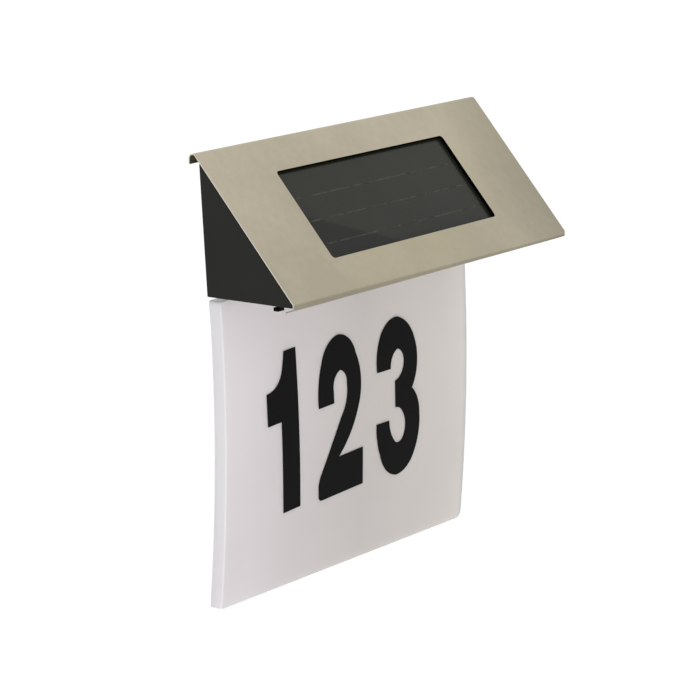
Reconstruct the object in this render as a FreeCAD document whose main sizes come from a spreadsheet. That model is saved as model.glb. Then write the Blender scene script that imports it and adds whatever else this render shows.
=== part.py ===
import FreeCAD, Part
import math
import os
import Sketcher

# Illuminated house number sign: a bowed, edge-lit number panel hangs under a solar roof.
# Millimetres. +X to the viewer's right, +Y into the wall, +Z up. The wall is the plane y = 0.
# The origin is midway between the two keyholes, on the wall.

doc = FreeCAD.newDocument("house_number_sign")
sheet = doc.addObject("Spreadsheet::Sheet", "Sizes")


class Size:
    # A number together with the sheet formula it comes from, so that sums of sizes stay bound to the sheet.
    def __init__(self, formula, number):
        self.formula = formula
        self.number = float(number)

    def __add__(self, other):
        other = as_size(other)
        return Size(f"({self.formula} + {other.formula})", self.number + other.number)

    def __sub__(self, other):
        other = as_size(other)
        return Size(f"({self.formula} - {other.formula})", self.number - other.number)

    def __mul__(self, other):
        other = as_size(other)
        return Size(f"({self.formula} * {other.formula})", self.number * other.number)

    def __truediv__(self, other):
        other = as_size(other)
        return Size(f"({self.formula} / {other.formula})", self.number / other.number)

    def __radd__(self, other):
        return as_size(other) + self

    def __rsub__(self, other):
        return as_size(other) - self

    def __rmul__(self, other):
        return as_size(other) * self

    def __neg__(self):
        return Size(f"(0 - {self.formula})", -self.number)


def as_size(value):
    return value if isinstance(value, Size) else Size(repr(float(value)), value)


def sine(angle):
    return Size(f"sin({angle.formula})", math.sin(math.radians(angle.number)))


def cosine(angle):
    return Size(f"cos({angle.formula})", math.cos(math.radians(angle.number)))


def tangent(angle):
    return Size(f"tan({angle.formula})", math.tan(math.radians(angle.number)))


def root(value):
    return Size(f"sqrt({value.formula})", math.sqrt(value.number))


# ---- overall and steel hood ----
hood_width = 200  # width of the folded steel sheet
hood_depth = 49.6  # wall to the front of the hood's lower bend
slope_angle = 49  # roof slope from the horizontal, degrees
sheet_gauge = 0.8  # thickness of the steel sheet
front_bend = 2.2  # outer radius of the lower front bend
top_bend = 1.9  # outer radius of the upper rear bend
front_rise = 0.7  # centre of the lower bend above the underside
lip_length = 2.5  # straight part of the return lip
lip_angle = 20  # return lip below the horizontal, degrees
hook_length = 2.3  # straight part of the rear hook flange
window_length = 119.5  # solar window in the sheet, along X
window_margin = 13.85  # steel below and above the solar window, on the flat of the slope
window_corner = 1.2  # corner radius of the solar window
tape_gauge = 0.15  # adhesive strips between sheet and housing
tape_margin = 2.5  # strips stay this far from the sheet's edges and window
tape_side = 24  # width of the two side strips

# ---- housing ----
cheek_inset = 0.4  # cheeks inside the ends of the sheet
cheek_wall = 2  # thickness of the cheeks
roof_wall = 2  # thickness of the housing's sloped wall
base_wall = 2.4  # thickness of the housing's bottom wall
nose_back = 0.5  # nose of the housing behind the inside of the lower bend
cheek_gap = 8.3  # wall to the lower rear corner of the cheeks
cheek_lean = 4  # rear edge of the cheeks leans back, degrees
rebate_depth = 0.8  # rebate inside the roof that locates the solar panel
boss_radius = 3  # screw bosses
boss_length = 8  # depth of the bosses behind the back cover
rib_gauge = 1.5  # ribs and bay walls

# ---- back cover ----
cover_wall = 2  # walls of the back cover
wing_width = 15  # wings of the back cover, from the rear box to the hood's ends
cover_clear = 0.7  # top of the back cover under the solar panel
keyhole_top = 13.2  # keyholes below the top of the back cover
keyhole_spacing = 120  # between the two keyholes
keyhole_radius = 4.25  # round entry of a keyhole
keyhole_neck = 4.6  # width of a keyhole's slot
keyhole_rise = 6.5  # length of a keyhole's slot above the entry
fit_gap = 0.1  # clearance between fixed moulded pieces

# ---- number panel ----
panel_inset = 12  # ends of the number panel inside the hood's ends
panel_drop = 129  # bottom of the number panel under the housing
panel_gauge = 5.8  # thickness of the number panel
panel_bow = 2.6  # middle of the panel in front of its ends
panel_corner = 3.5  # corner radius of the panel
panel_edge = 0.5  # rounding of the panel's edges
tongue_inset = 11  # ends of the panel's tongue inside the rear box
tongue_height = 11  # tongue above the underside of the housing
numeral_height = 67  # height of the stick-on digits
numeral_gauge = 0.2  # thickness of the stick-on digits
numeral_drop = 64  # middle of the digits under the housing

# ---- solar panel ----
solar_lap_side = 3.75  # solar panel beyond the window at each end
solar_lap_low = 5  # solar panel beyond the window's lower edge
solar_lap_high = 2  # solar panel beyond the window's upper edge
resin_gauge = 0.7  # clear resin over the cells
cell_gauge = 0.25  # thickness of the solar cells
cell_inset = 2.75  # ends of the cell strips inside the window
cell_margin_low = 0.55  # solar panel below the lowest strip
cell_margin_high = 3.25  # solar panel above the highest strip
cell_gap = 0.5  # gap between cell strips
ribbon_width = 1.2  # tinned ribbons that join the strips
solar_board_gauge = 1.2  # circuit board behind the cells
seal_gauge = 0.4  # foam seals

# ---- battery bay ----
battery_radius = 7.1  # AA cell
battery_length = 50.5  # AA cell over its terminals
nub_length = 1.3  # positive nub of the cell
nub_radius = 2.6  # positive nub of the cell
battery_wall_gap = 21  # middle of the cell from the wall
bay_gap = 0.4  # clearance round the cell
spring_room = 5.5  # room for the spring contact
contact_gauge = 0.4  # metal of the battery contacts
contact_width = 9  # width of the battery contacts
door_gauge = 1.4  # thickness of the battery door
door_margin = 2.6  # door beyond the bay, front and rear
door_tab = 9  # door beyond the bay at each end, for its screws
door_gap = 0.2  # clearance round the battery door

# ---- switch ----
switch_left = 5.6  # switch cap from the cheek's outer face
switch_setback = 12.55  # middle of the switch behind the hood's front
cap_length = 3.8  # switch cap, along X
cap_width = 2.5  # switch cap, along Y
cap_height = 1.4  # height of the switch cap
cap_drop = 3.3  # lowest face of the cap under the housing
stem_length = 1.6  # switch stem, along X
stem_width = 1.2  # switch stem, along Y
switch_travel = 3  # travel of the switch
slide_gap = 0.2  # clearance round the moving stem
switch_length = 12  # switch body, along X
switch_depth = 5.4  # switch body, along Y
switch_height = 4.8  # switch body
switch_floor = 1.2  # bottom wall left under the switch

# ---- boards, screws and leads ----
board_gauge = 1.2  # circuit boards
board_length = 40  # control board, along X
board_depth = 18  # control board, along Y
board_rise = 6  # control board above the underside
board_gap = 18.35  # control board from the battery bay
board_wall_gap = 15.5  # rear edge of the control board from the wall
led_board_gap = 1  # ends of the lamp strip inside the rear box
led_board_depth = 4.8  # strip board of the lamps, along Y
led_size = 3.5  # lamp package, along X
led_depth = 2.8  # lamp package, along Y
led_height = 1.4  # lamp package
led_pitch = 40  # pitch of the lamps
led_gap = 0.8  # lamps above the tongue's top edge
post_width = 6  # posts under the ends of the strip board
screw_radius = 1.3  # case, panel and door screws
small_screw_radius = 0.9  # board screws
thread_gap = 0.05  # screw in its boss
screw_pass = 0.3  # screw through a clearance hole
head_factor = 1.9  # screw heads over their shanks
case_screw_low = 9  # lower case screws above the underside
case_screw_rise = 18  # upper case screws above the lower ones
panel_screw_pitch = 50  # pitch of the three screws that hold the number panel
door_boss_rise = 11  # bosses of the door screws above the underside
chip_length = 5  # controller chip, along X
chip_depth = 4  # controller chip, along Y
chip_height = 1.5  # controller chip
coil_length = 8  # inductor
coil_radius = 1.6  # inductor
can_radius = 2.5  # capacitor
can_height = 7  # capacitor
solar_lead_place = 11  # solar leads from the control board's left edge
solar_lead_shift = 4  # their pads on the solar panel, nearer the middle
solar_lead_out = 5  # they stand out from the solar panel this far
board_lead_rise = 9  # leads over the control board
board_lead_edge = 2  # pads of the rear leads from the board's rear edge
switch_lead_straight = 12  # switch leads leave the switch this far
switch_lead_drop = 34  # they lie on the floor from here on
lane_gap = 3.85  # switch leads in front of the battery bay
lamp_lead_edge = 3  # lamp leads inside the tongue's end
lamp_lead_rise = 7  # lamp leads over the lamp strip
numeral_1_x = -48.7  # middle of the first digit
numeral_2_x = -8.3  # middle of the second digit
numeral_3_x = 34  # middle of the third digit
numeral_1_lean = 3  # first digit, leaning to the left, degrees
numeral_2_lean = 2.4  # second digit, leaning to the left, degrees
numeral_3_lean = 0  # third digit
lead_radius = 0.6  # insulated leads

# every plain number above goes to the sheet, and its name then stands for the sheet's cell
given = {name: value for name, value in globals().items() if type(value) in (int, float)}
for row, (name, value) in enumerate(given.items(), 1):
    sheet.set(f"A{row}", name)
    sheet.set(f"B{row}", str(value))
    sheet.setAlias(f"B{row}", name)
    globals()[name] = Size(f"Sizes.{name}", value)
doc.recompute()

# ---- places that several pieces share ----
slope_sine = sine(slope_angle)
slope_cosine = cosine(slope_angle)
slope_tangent = tangent(slope_angle)
front_y = front_bend - hood_depth
wing_y = 3 * fit_gap - cheek_gap
wing_front = wing_y - cover_wall
housing_skin = sheet_gauge + tape_gauge
seat_depth = housing_skin + roof_wall - rebate_depth
face_depth = seat_depth + seal_gauge
solar_back = face_depth + resin_gauge + cell_gauge + solar_board_gauge
face_y = front_y - front_bend * slope_sine
face_rise = front_rise + front_bend * slope_cosine
box_height = face_rise + (wing_front - face_y) * slope_tangent - solar_back / slope_cosine - cover_clear
mount_height = box_height - keyhole_top
under = -mount_height
front_z = under + front_rise
top_y = -top_bend
top_z = front_z + (front_bend - top_bend + (top_y - front_y) * slope_sine) / slope_cosine
flat_length = (top_y - front_y) * slope_cosine + (top_z - front_z) * slope_sine
cheek_face = hood_width / 2 - cheek_inset
cheek_inside = cheek_face - cheek_wall
window_height = flat_length - 2 * window_margin
box_width = hood_width - 2 * wing_width
panel_width = hood_width - 2 * panel_inset
tongue_width = box_width - 2 * tongue_inset
solar_length = window_length + 2 * solar_lap_side
solar_height = window_height + solar_lap_low + solar_lap_high
solar_start = window_margin - solar_lap_low
cell_pitch = (solar_height - cell_margin_low - cell_margin_high) / 4
cell_length = window_length - 2 * cell_inset
switch_front = hood_depth - switch_setback
bay_left = -(battery_length / 2) - spring_room
bay_right = battery_length / 2 + contact_gauge
battery_y = -battery_wall_gap
bay_half = battery_radius + bay_gap
battery_z = under + base_wall + seal_gauge + battery_radius
tongue_gauge = panel_gauge - cover_wall - 2 * fit_gap
tongue_front = -panel_gauge
box_inside = box_width / 2 - cover_wall
board_left = bay_right + board_gap
led_board_length = 2 * (box_inside - led_board_gap)
led_board_z = under + tongue_height + led_gap + led_height
panel_screw_z = under + tongue_height / 2


def slope_point(along, above):
    # A point on the roof: along runs up the slope from the lower bend, above is square to the sheet's outer face.
    y = face_y + along * slope_cosine - above * slope_sine
    z = under + face_rise + along * slope_sine + above * slope_cosine
    return y, z


def slope_height(y, depth):
    # Height of the plane that lies depth under the roof's outer face, at a given y.
    return under + face_rise + (y - face_y) * slope_tangent - depth / slope_cosine


def bind(target, name, value):
    target.setExpression(name, as_size(value).formula)


def place(target, x, y, z, axis=FreeCAD.Vector(1, 0, 0), angle=0):
    # Puts a primitive at a bound point, turned about one axis by a bound angle.
    turn = as_size(angle)
    target.Placement = FreeCAD.Placement(
        FreeCAD.Vector(0, 0, 0), FreeCAD.Rotation(axis, turn.number or 1)
    )
    bind(target, "Placement.Rotation.Angle", turn)
    bind(target, "Placement.Base.x", x)
    bind(target, "Placement.Base.y", y)
    bind(target, "Placement.Base.z", z)


def block(name, x, y, z, width, depth, height):
    made = doc.addObject("Part::Box", name)
    bind(made, "Length", width)
    bind(made, "Width", depth)
    bind(made, "Height", height)
    place(made, x, y, z)
    return made


def centred_block(name, x, y, z, width, depth, height):
    # Centred in X and Y on a point, standing on z.
    return block(name, x - as_size(width) / 2, y - as_size(depth) / 2, z, width, depth, height)


def roof_block(name, x, along, above, width, run, rise):
    # A block laid on the roof: its lower corner is a slope point, and it runs up the slope.
    y, z = slope_point(along, above)
    made = doc.addObject("Part::Box", name)
    bind(made, "Length", width)
    bind(made, "Width", run)
    bind(made, "Height", rise)
    place(made, x, y, z, angle=slope_angle)
    return made


turns = {"x": (FreeCAD.Vector(0, 1, 0), 90), "y": (FreeCAD.Vector(1, 0, 0), -90), "z": (FreeCAD.Vector(0, 0, 1), 0)}


def rod(name, x, y, z, radius, length, axis="z"):
    made = doc.addObject("Part::Cylinder", name)
    bind(made, "Radius", radius)
    bind(made, "Height", length)
    place(made, x, y, z, *turns[axis])
    return made


def cone(name, x, y, z, start_radius, end_radius, length, axis="z"):
    made = doc.addObject("Part::Cone", name)
    bind(made, "Radius1", start_radius)
    bind(made, "Radius2", end_radius)
    bind(made, "Height", length)
    place(made, x, y, z, *turns[axis])
    return made


def fuse(name, pieces):
    if len(pieces) == 1:
        return pieces[0]
    made = doc.addObject("Part::MultiFuse", name)
    made.Shapes = pieces
    return made


def cut(name, base, tools):
    made = doc.addObject("Part::Cut", name)
    made.Base = base
    made.Tool = fuse(name + "_tools", tools)
    return made


def common(name, first, second):
    made = doc.addObject("Part::Common", name)
    made.Base = first
    made.Tool = second
    return made


def group(name, pieces):
    # Separate solids that share one node.
    made = doc.addObject("Part::Compound", name)
    made.Links = pieces
    return made


def origin_plane(body, role):
    return [feature for feature in body.Origin.OriginFeatures if feature.Role == role][0]


def outline_sketch(body, name, role, corners):
    # A closed outline through bound corners, all of straight lines.
    sketch = body.newObject("Sketcher::SketchObject", name)
    sketch.AttachmentSupport = [(origin_plane(body, role), "")]
    sketch.MapMode = "FlatFace"
    count = len(corners)
    points = [FreeCAD.Vector(as_size(u).number, as_size(v).number, 0) for u, v in corners]
    for index in range(count):
        sketch.addGeometry(Part.LineSegment(points[index], points[(index + 1) % count]), False)
    for index in range(count):
        sketch.addConstraint(Sketcher.Constraint("Coincident", index, 2, (index + 1) % count, 1))
    for index, (u, v) in enumerate(corners):
        for kind, value in (("DistanceX", as_size(u)), ("DistanceY", as_size(v))):
            number = sketch.addConstraint(Sketcher.Constraint(kind, -1, 1, index, 1, value.number))
            sketch.setExpression(f"Constraints[{number}]", value.formula)
    return sketch


def arc_between(sketch, centre, start, end, number_of_line_before, number_of_line_after):
    # An arc about a bound centre that joins the end of one line to the start of the next, anticlockwise.
    middle = FreeCAD.Vector(centre[0].number, centre[1].number, 0)
    reach = start.sub(middle)
    circle = Part.Circle(middle, FreeCAD.Vector(0, 0, 1), reach.Length)
    first = math.atan2(reach.y, reach.x)
    reach = end.sub(middle)
    last = math.atan2(reach.y, reach.x)
    if last < first:
        last += 2 * math.pi
    arc = sketch.addGeometry(Part.ArcOfCircle(circle, first, last), False)
    for kind, value in (("DistanceX", centre[0]), ("DistanceY", centre[1])):
        number = sketch.addConstraint(Sketcher.Constraint(kind, -1, 1, arc, 3, value.number))
        sketch.setExpression(f"Constraints[{number}]", value.formula)
    sketch.addConstraint(Sketcher.Constraint("Coincident", arc, 1, number_of_line_before, 2))
    sketch.addConstraint(Sketcher.Constraint("Coincident", arc, 2, number_of_line_after, 1))
    return arc


def prism(name, corners, width):
    # A profile in the YZ plane, made as wide as asked for about the middle.
    body = doc.addObject("PartDesign::Body", name)
    sketch = outline_sketch(body, name + "_profile", "YZ_Plane", corners)
    pad = body.newObject("PartDesign::Pad", name + "_pad")
    pad.Profile = sketch
    pad.Midplane = True
    bind(pad, "Length", width)
    return body


# ---- steel hood ----
def folded_profile(body, name):
    # Outer and inner faces of the folded sheet: lip, lower bend, slope, upper bend and hook.
    sketch = body.newObject("Sketcher::SketchObject", name)
    sketch.AttachmentSupport = [(origin_plane(body, "YZ_Plane"), "")]
    sketch.MapMode = "FlatFace"
    lip_sine = sine(lip_angle)
    lip_cosine = cosine(lip_angle)
    lower = (front_y, front_z)
    upper = (top_y, top_z)

    def from_lower(radius, out_y, out_z, run=as_size(0)):
        return (front_y + radius * out_y + run * lip_cosine, front_z + radius * out_z - run * lip_sine)

    outer_slope_low = (front_y - front_bend * slope_sine, front_z + front_bend * slope_cosine)
    outer_slope_high = (top_y - top_bend * slope_sine, top_z + top_bend * slope_cosine)
    inner_front = front_bend - sheet_gauge
    inner_top = top_bend - sheet_gauge
    inner_slope_low = (front_y - inner_front * slope_sine, front_z + inner_front * slope_cosine)
    inner_slope_high = (top_y - inner_top * slope_sine, top_z + inner_top * slope_cosine)
    outer_lip_start = from_lower(front_bend, -lip_sine, -lip_cosine)
    outer_lip_end = from_lower(front_bend, -lip_sine, -lip_cosine, lip_length)
    inner_lip_start = from_lower(inner_front, -lip_sine, -lip_cosine)
    inner_lip_end = from_lower(inner_front, -lip_sine, -lip_cosine, lip_length)
    outer_hook_start = (top_y + top_bend, top_z)
    outer_hook_end = (top_y + top_bend, top_z - hook_length)
    inner_hook_start = (top_y + inner_top, top_z)
    inner_hook_end = (top_y + inner_top, top_z - hook_length)

    lines = [
        (outer_slope_high, outer_slope_low),
        (outer_lip_start, outer_lip_end),
        (outer_lip_end, inner_lip_end),
        (inner_lip_end, inner_lip_start),
        (inner_slope_low, inner_slope_high),
        (inner_hook_start, inner_hook_end),
        (inner_hook_end, outer_hook_end),
        (outer_hook_end, outer_hook_start),
    ]

    def vector(point):
        return FreeCAD.Vector(as_size(point[0]).number, as_size(point[1]).number, 0)

    for start, end in lines:
        sketch.addGeometry(Part.LineSegment(vector(start), vector(end)), False)

    def pin(line, end, point):
        for kind, value in (("DistanceX", as_size(point[0])), ("DistanceY", as_size(point[1]))):
            number = sketch.addConstraint(Sketcher.Constraint(kind, -1, 1, line, end, value.number))
            sketch.setExpression(f"Constraints[{number}]", value.formula)

    pin(0, 1, outer_slope_high)
    pin(0, 2, outer_slope_low)
    pin(1, 1, outer_lip_start)
    pin(1, 2, outer_lip_end)
    sketch.addConstraint(Sketcher.Constraint("Coincident", 1, 2, 2, 1))
    pin(2, 2, inner_lip_end)
    sketch.addConstraint(Sketcher.Constraint("Coincident", 2, 2, 3, 1))
    pin(3, 2, inner_lip_start)
    pin(4, 1, inner_slope_low)
    pin(4, 2, inner_slope_high)
    pin(5, 1, inner_hook_start)
    pin(5, 2, inner_hook_end)
    sketch.addConstraint(Sketcher.Constraint("Coincident", 5, 2, 6, 1))
    pin(6, 2, outer_hook_end)
    sketch.addConstraint(Sketcher.Constraint("Coincident", 6, 2, 7, 1))
    pin(7, 2, outer_hook_start)

    def bend(centre, start_line, start_end, end_line, end_end, start, end):
        # The arc runs anticlockwise from start to end.
        middle = vector(centre)
        reach = vector(start).sub(middle)
        first = math.atan2(reach.y, reach.x)
        away = vector(end).sub(middle)
        last = math.atan2(away.y, away.x)
        if last < first:
            last += 2 * math.pi
        circle = Part.Circle(middle, FreeCAD.Vector(0, 0, 1), reach.Length)
        arc = sketch.addGeometry(Part.ArcOfCircle(circle, first, last), False)
        sketch.addConstraint(Sketcher.Constraint("Coincident", arc, 1, start_line, start_end))
        sketch.addConstraint(Sketcher.Constraint("Coincident", arc, 2, end_line, end_end))
        number = sketch.addConstraint(
            Sketcher.Constraint("DistanceX", -1, 1, arc, 3, as_size(centre[0]).number)
        )
        sketch.setExpression(f"Constraints[{number}]", as_size(centre[0]).formula)

    bend(lower, 0, 2, 1, 1, outer_slope_low, outer_lip_start)
    bend(lower, 4, 1, 3, 2, inner_slope_low, inner_lip_start)
    bend(upper, 7, 2, 0, 1, outer_hook_start, outer_slope_high)
    bend(upper, 5, 1, 4, 2, inner_hook_start, inner_slope_high)
    return sketch


def slope_sketch(body, name, width, height, corner):
    # A rounded rectangle in the roof's outer face, centred on the window.
    sketch = body.newObject("Sketcher::SketchObject", name)
    sketch.AttachmentSupport = [(origin_plane(body, "XY_Plane"), "")]
    sketch.MapMode = "FlatFace"
    sketch.AttachmentOffset = FreeCAD.Placement(
        FreeCAD.Vector(0, 0, 0), FreeCAD.Rotation(FreeCAD.Vector(1, 0, 0), slope_angle.number)
    )
    y, z = slope_point(flat_length / 2, as_size(0))
    bind(sketch, "AttachmentOffset.Rotation.Angle", slope_angle)
    bind(sketch, "AttachmentOffset.Base.y", y)
    bind(sketch, "AttachmentOffset.Base.z", z)
    half = width / 2
    rise = height / 2
    near = half - corner
    low = rise - corner
    sides = [
        ((-near, -rise), (near, -rise)),
        ((half, -low), (half, low)),
        ((near, rise), (-near, rise)),
        ((-half, low), (-half, -low)),
    ]
    centres = [(near, -low), (near, low), (-near, low), (-near, -low)]
    for start, end in sides:
        sketch.addGeometry(
            Part.LineSegment(
                FreeCAD.Vector(start[0].number, start[1].number, 0),
                FreeCAD.Vector(end[0].number, end[1].number, 0),
            ),
            False,
        )
    for index, pair in enumerate(sides):
        for end, point in enumerate(pair, 1):
            for kind, value in (("DistanceX", point[0]), ("DistanceY", point[1])):
                number = sketch.addConstraint(
                    Sketcher.Constraint(kind, -1, 1, index, end, value.number)
                )
                sketch.setExpression(f"Constraints[{number}]", value.formula)
    for index, centre in enumerate(centres):
        following = (index + 1) % 4
        middle = FreeCAD.Vector(centre[0].number, centre[1].number, 0)
        circle = Part.Circle(middle, FreeCAD.Vector(0, 0, 1), corner.number)
        first = math.radians(-90 + 90 * index)
        arc = sketch.addGeometry(Part.ArcOfCircle(circle, first, first + math.pi / 2), False)
        sketch.addConstraint(Sketcher.Constraint("Coincident", arc, 1, index, 2))
        sketch.addConstraint(Sketcher.Constraint("Coincident", arc, 2, following, 1))
        number = sketch.addConstraint(Sketcher.Constraint("Radius", arc, corner.number))
        sketch.setExpression(f"Constraints[{number}]", corner.formula)
    return sketch


def make_hood():
    body = doc.addObject("PartDesign::Body", "hood_cover")
    pad = body.newObject("PartDesign::Pad", "hood_pad")
    pad.Profile = folded_profile(body, "hood_profile")
    pad.Midplane = True
    bind(pad, "Length", hood_width)
    doc.recompute()
    whole = pad.Shape.Volume
    window = body.newObject("PartDesign::Pocket", "hood_window")
    window.Profile = slope_sketch(body, "window_outline", window_length, window_height, window_corner)
    window.Midplane = True
    bind(window, "Length", sheet_gauge * 3)
    doc.recompute()
    removed = whole - window.Shape.Volume
    expected = window_length.number * window_height.number * sheet_gauge.number
    print("hood window removes", round(removed, 1), "of about", round(expected, 1))
    return body


def make_tape():
    low = window_margin - tape_margin
    run = low - tape_margin
    span = hood_width - 2 * tape_margin - 2 * cheek_inset
    above = -sheet_gauge - tape_gauge
    lower = roof_block("tape_low", -span / 2, tape_margin, above, span, run, tape_gauge)
    high = flat_length - low
    upper = roof_block("tape_high", -span / 2, high, above, span, run, tape_gauge)
    middle = flat_length / 2 - window_height / 4
    sides = [
        roof_block(f"tape_side_{index}", x, middle, above, tape_side, window_height / 2, tape_gauge)
        for index, x in enumerate((-span / 2, span / 2 - tape_side))
    ]
    return group("hood_tape", [lower, upper] + sides)


# ---- housing ----
def make_housing():
    nose_y = front_y - (front_bend - sheet_gauge - nose_back)
    rear_low = -cheek_gap
    lean = tangent(cheek_lean)
    # where the leaning rear edge meets the plane under the sheet
    skin_low = slope_height(rear_low, housing_skin)
    rise = (skin_low - under) / (1 - lean * slope_tangent)
    rear_top = (rear_low + rise * lean, under + rise)
    shell = prism(
        "housing_shell",
        [
            (nose_y, under),
            (rear_low, under),
            rear_top,
            (nose_y, slope_height(nose_y, housing_skin)),
        ],
        2 * cheek_face,
    )
    inner_skin = housing_skin + roof_wall
    floor = under + base_wall
    # the hollow starts where the roof's inside meets the floor, and runs out of the open rear
    hollow_front = face_y + (floor - under - face_rise + inner_skin / slope_cosine) / slope_tangent
    beyond = as_size(10)
    hollow = prism(
        "housing_hollow",
        [(hollow_front, floor), (beyond, floor), (beyond, slope_height(beyond, inner_skin))],
        2 * cheek_inside,
    )
    boss_y = wing_front
    screw_x = cheek_inside - 2 * boss_radius
    bosses = []
    pilots = []
    for side in (-1, 1):
        for level, screw_z in enumerate(case_screw_heights):
            tag = f"{'left' if side < 0 else 'right'}_{level}"
            bosses.append(
                rod(f"case_boss_{tag}", side * screw_x, boss_y - boss_length, screw_z, boss_radius, boss_length, "y")
            )
            width = cheek_inside - screw_x + cheek_wall / 2
            x = screw_x if side > 0 else -screw_x - width
            bosses.append(
                block(f"case_web_{tag}", x, boss_y - boss_length, screw_z - rib_gauge / 2, width, boss_length, rib_gauge)
            )
            pilots.append(
                rod(f"case_pilot_{tag}", side * screw_x, boss_y - boss_length + rib_gauge, screw_z,
                    screw_radius + thread_gap, boss_length, "y")
            )
    panel_boss_length = panel_boss_end - panel_gauge - fit_gap
    for index, x in enumerate(panel_screw_places):
        start = -panel_boss_end
        bosses.append(rod(f"panel_boss_{index}", x, start, panel_screw_z, boss_radius, panel_boss_length, "y"))
        bosses.append(
            block(f"panel_web_{index}", x - rib_gauge / 2, start, under + base_wall / 2, rib_gauge,
                  panel_boss_end - cheek_gap - fit_gap, panel_screw_z - under - base_wall / 2)
        )
        pilots.append(
            rod(f"panel_pilot_{index}", x, start + rib_gauge, panel_screw_z, screw_radius + thread_gap,
                panel_boss_length, "y")
        )
    # battery bay: a rim round the door's recess, end walls, cradle walls and door screw bosses
    bay_length = bay_right - bay_left
    recess_width = 2 * (bay_half + door_margin)
    recess_left = bay_left - door_tab
    recess_length = bay_length + 2 * door_tab
    bosses.append(
        block("bay_rim", recess_left - rib_gauge, battery_y - recess_width / 2 - rib_gauge, under + base_wall / 2,
              recess_length + 2 * rib_gauge, recess_width + 2 * rib_gauge, base_wall / 2 + door_gauge)
    )
    bay_top = battery_z
    for name, y in (("front", battery_y - bay_half - rib_gauge), ("rear", battery_y + bay_half)):
        bosses.append(
            block(f"bay_{name}_wall", bay_left - rib_gauge, y, under + base_wall / 2,
                  bay_length + 2 * rib_gauge, rib_gauge, bay_top - under - base_wall / 2)
        )
    for name, x in (("left", bay_left - rib_gauge), ("right", bay_right)):
        bosses.append(
            block(f"bay_{name}_wall", x, battery_y - bay_half, under + base_wall / 2, rib_gauge, 2 * bay_half,
                  contact_top - under - base_wall / 2)
        )
    for name, x in (("left", bay_left - door_tab / 2), ("right", bay_right + door_tab / 2)):
        bosses.append(rod(f"door_boss_{name}", x, battery_y, under + base_wall / 2, boss_radius, door_boss_top - under - base_wall / 2))
        pilots.append(rod(f"door_pilot_{name}", x, battery_y, under, screw_radius + thread_gap, door_boss_top - under - rib_gauge))
    for index, x in enumerate(board_screw_places):
        bosses.append(rod(f"board_post_{index}", x, board_screw_y, under + base_wall / 2, boss_radius, board_rise - base_wall / 2))
        pilots.append(
            rod(f"board_pilot_{index}", x, board_screw_y, under + base_wall / 2, small_screw_radius + thread_gap, board_rise)
        )
    rib_y, rib_top = slope_point(solar_start + solar_height, -solar_back)
    bosses.append(
        block("rear_rib", -cheek_inside - cheek_wall / 2, rib_y + 3 * fit_gap, under + box_height + fit_gap,
              2 * cheek_inside + cheek_wall, rib_gauge,
              slope_height(rib_y + 3 * fit_gap, inner_skin) + 1 - under - box_height)
    )
    openings = [
        block("bay_opening", bay_left, battery_y - bay_half, under - 1, bay_length, 2 * bay_half, bay_top - under + 1),
        block("door_recess", recess_left, battery_y - recess_width / 2, under - 1, recess_length, recess_width,
              1 + door_gauge + seal_gauge),
        centred_block("switch_seat", switch_middle, -switch_front, under + switch_floor, switch_length + 2 * fit_gap,
                      switch_depth + 2 * fit_gap, switch_height),
        block("switch_slot", cap_left + cap_length / 2 - stem_length / 2 - slide_gap, -switch_front - stem_width / 2 - slide_gap,
              under - 1, stem_length + switch_travel + 2 * slide_gap, stem_width + 2 * slide_gap, base_wall + 1),
        roof_block("solar_rebate", -solar_length / 2 - fit_gap, solar_start - fit_gap, -seat_depth - rebate_depth - 1,
                   solar_length + 2 * fit_gap, solar_height + 2 * fit_gap, rebate_depth + 1),
    ]
    window_body = doc.addObject("PartDesign::Body", "housing_window")
    window_pad = window_body.newObject("PartDesign::Pad", "housing_window_pad")
    window_pad.Profile = slope_sketch(window_body, "housing_window_outline", window_length, window_height, window_corner)
    window_pad.Midplane = True
    bind(window_pad, "Length", 4 * (housing_skin + roof_wall))
    shell_with_hollow = cut("housing_walls", shell, [hollow])
    full = fuse("housing_with_bosses", [shell_with_hollow] + bosses)
    return cut("housing", full, openings + pilots + [window_body])


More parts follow.
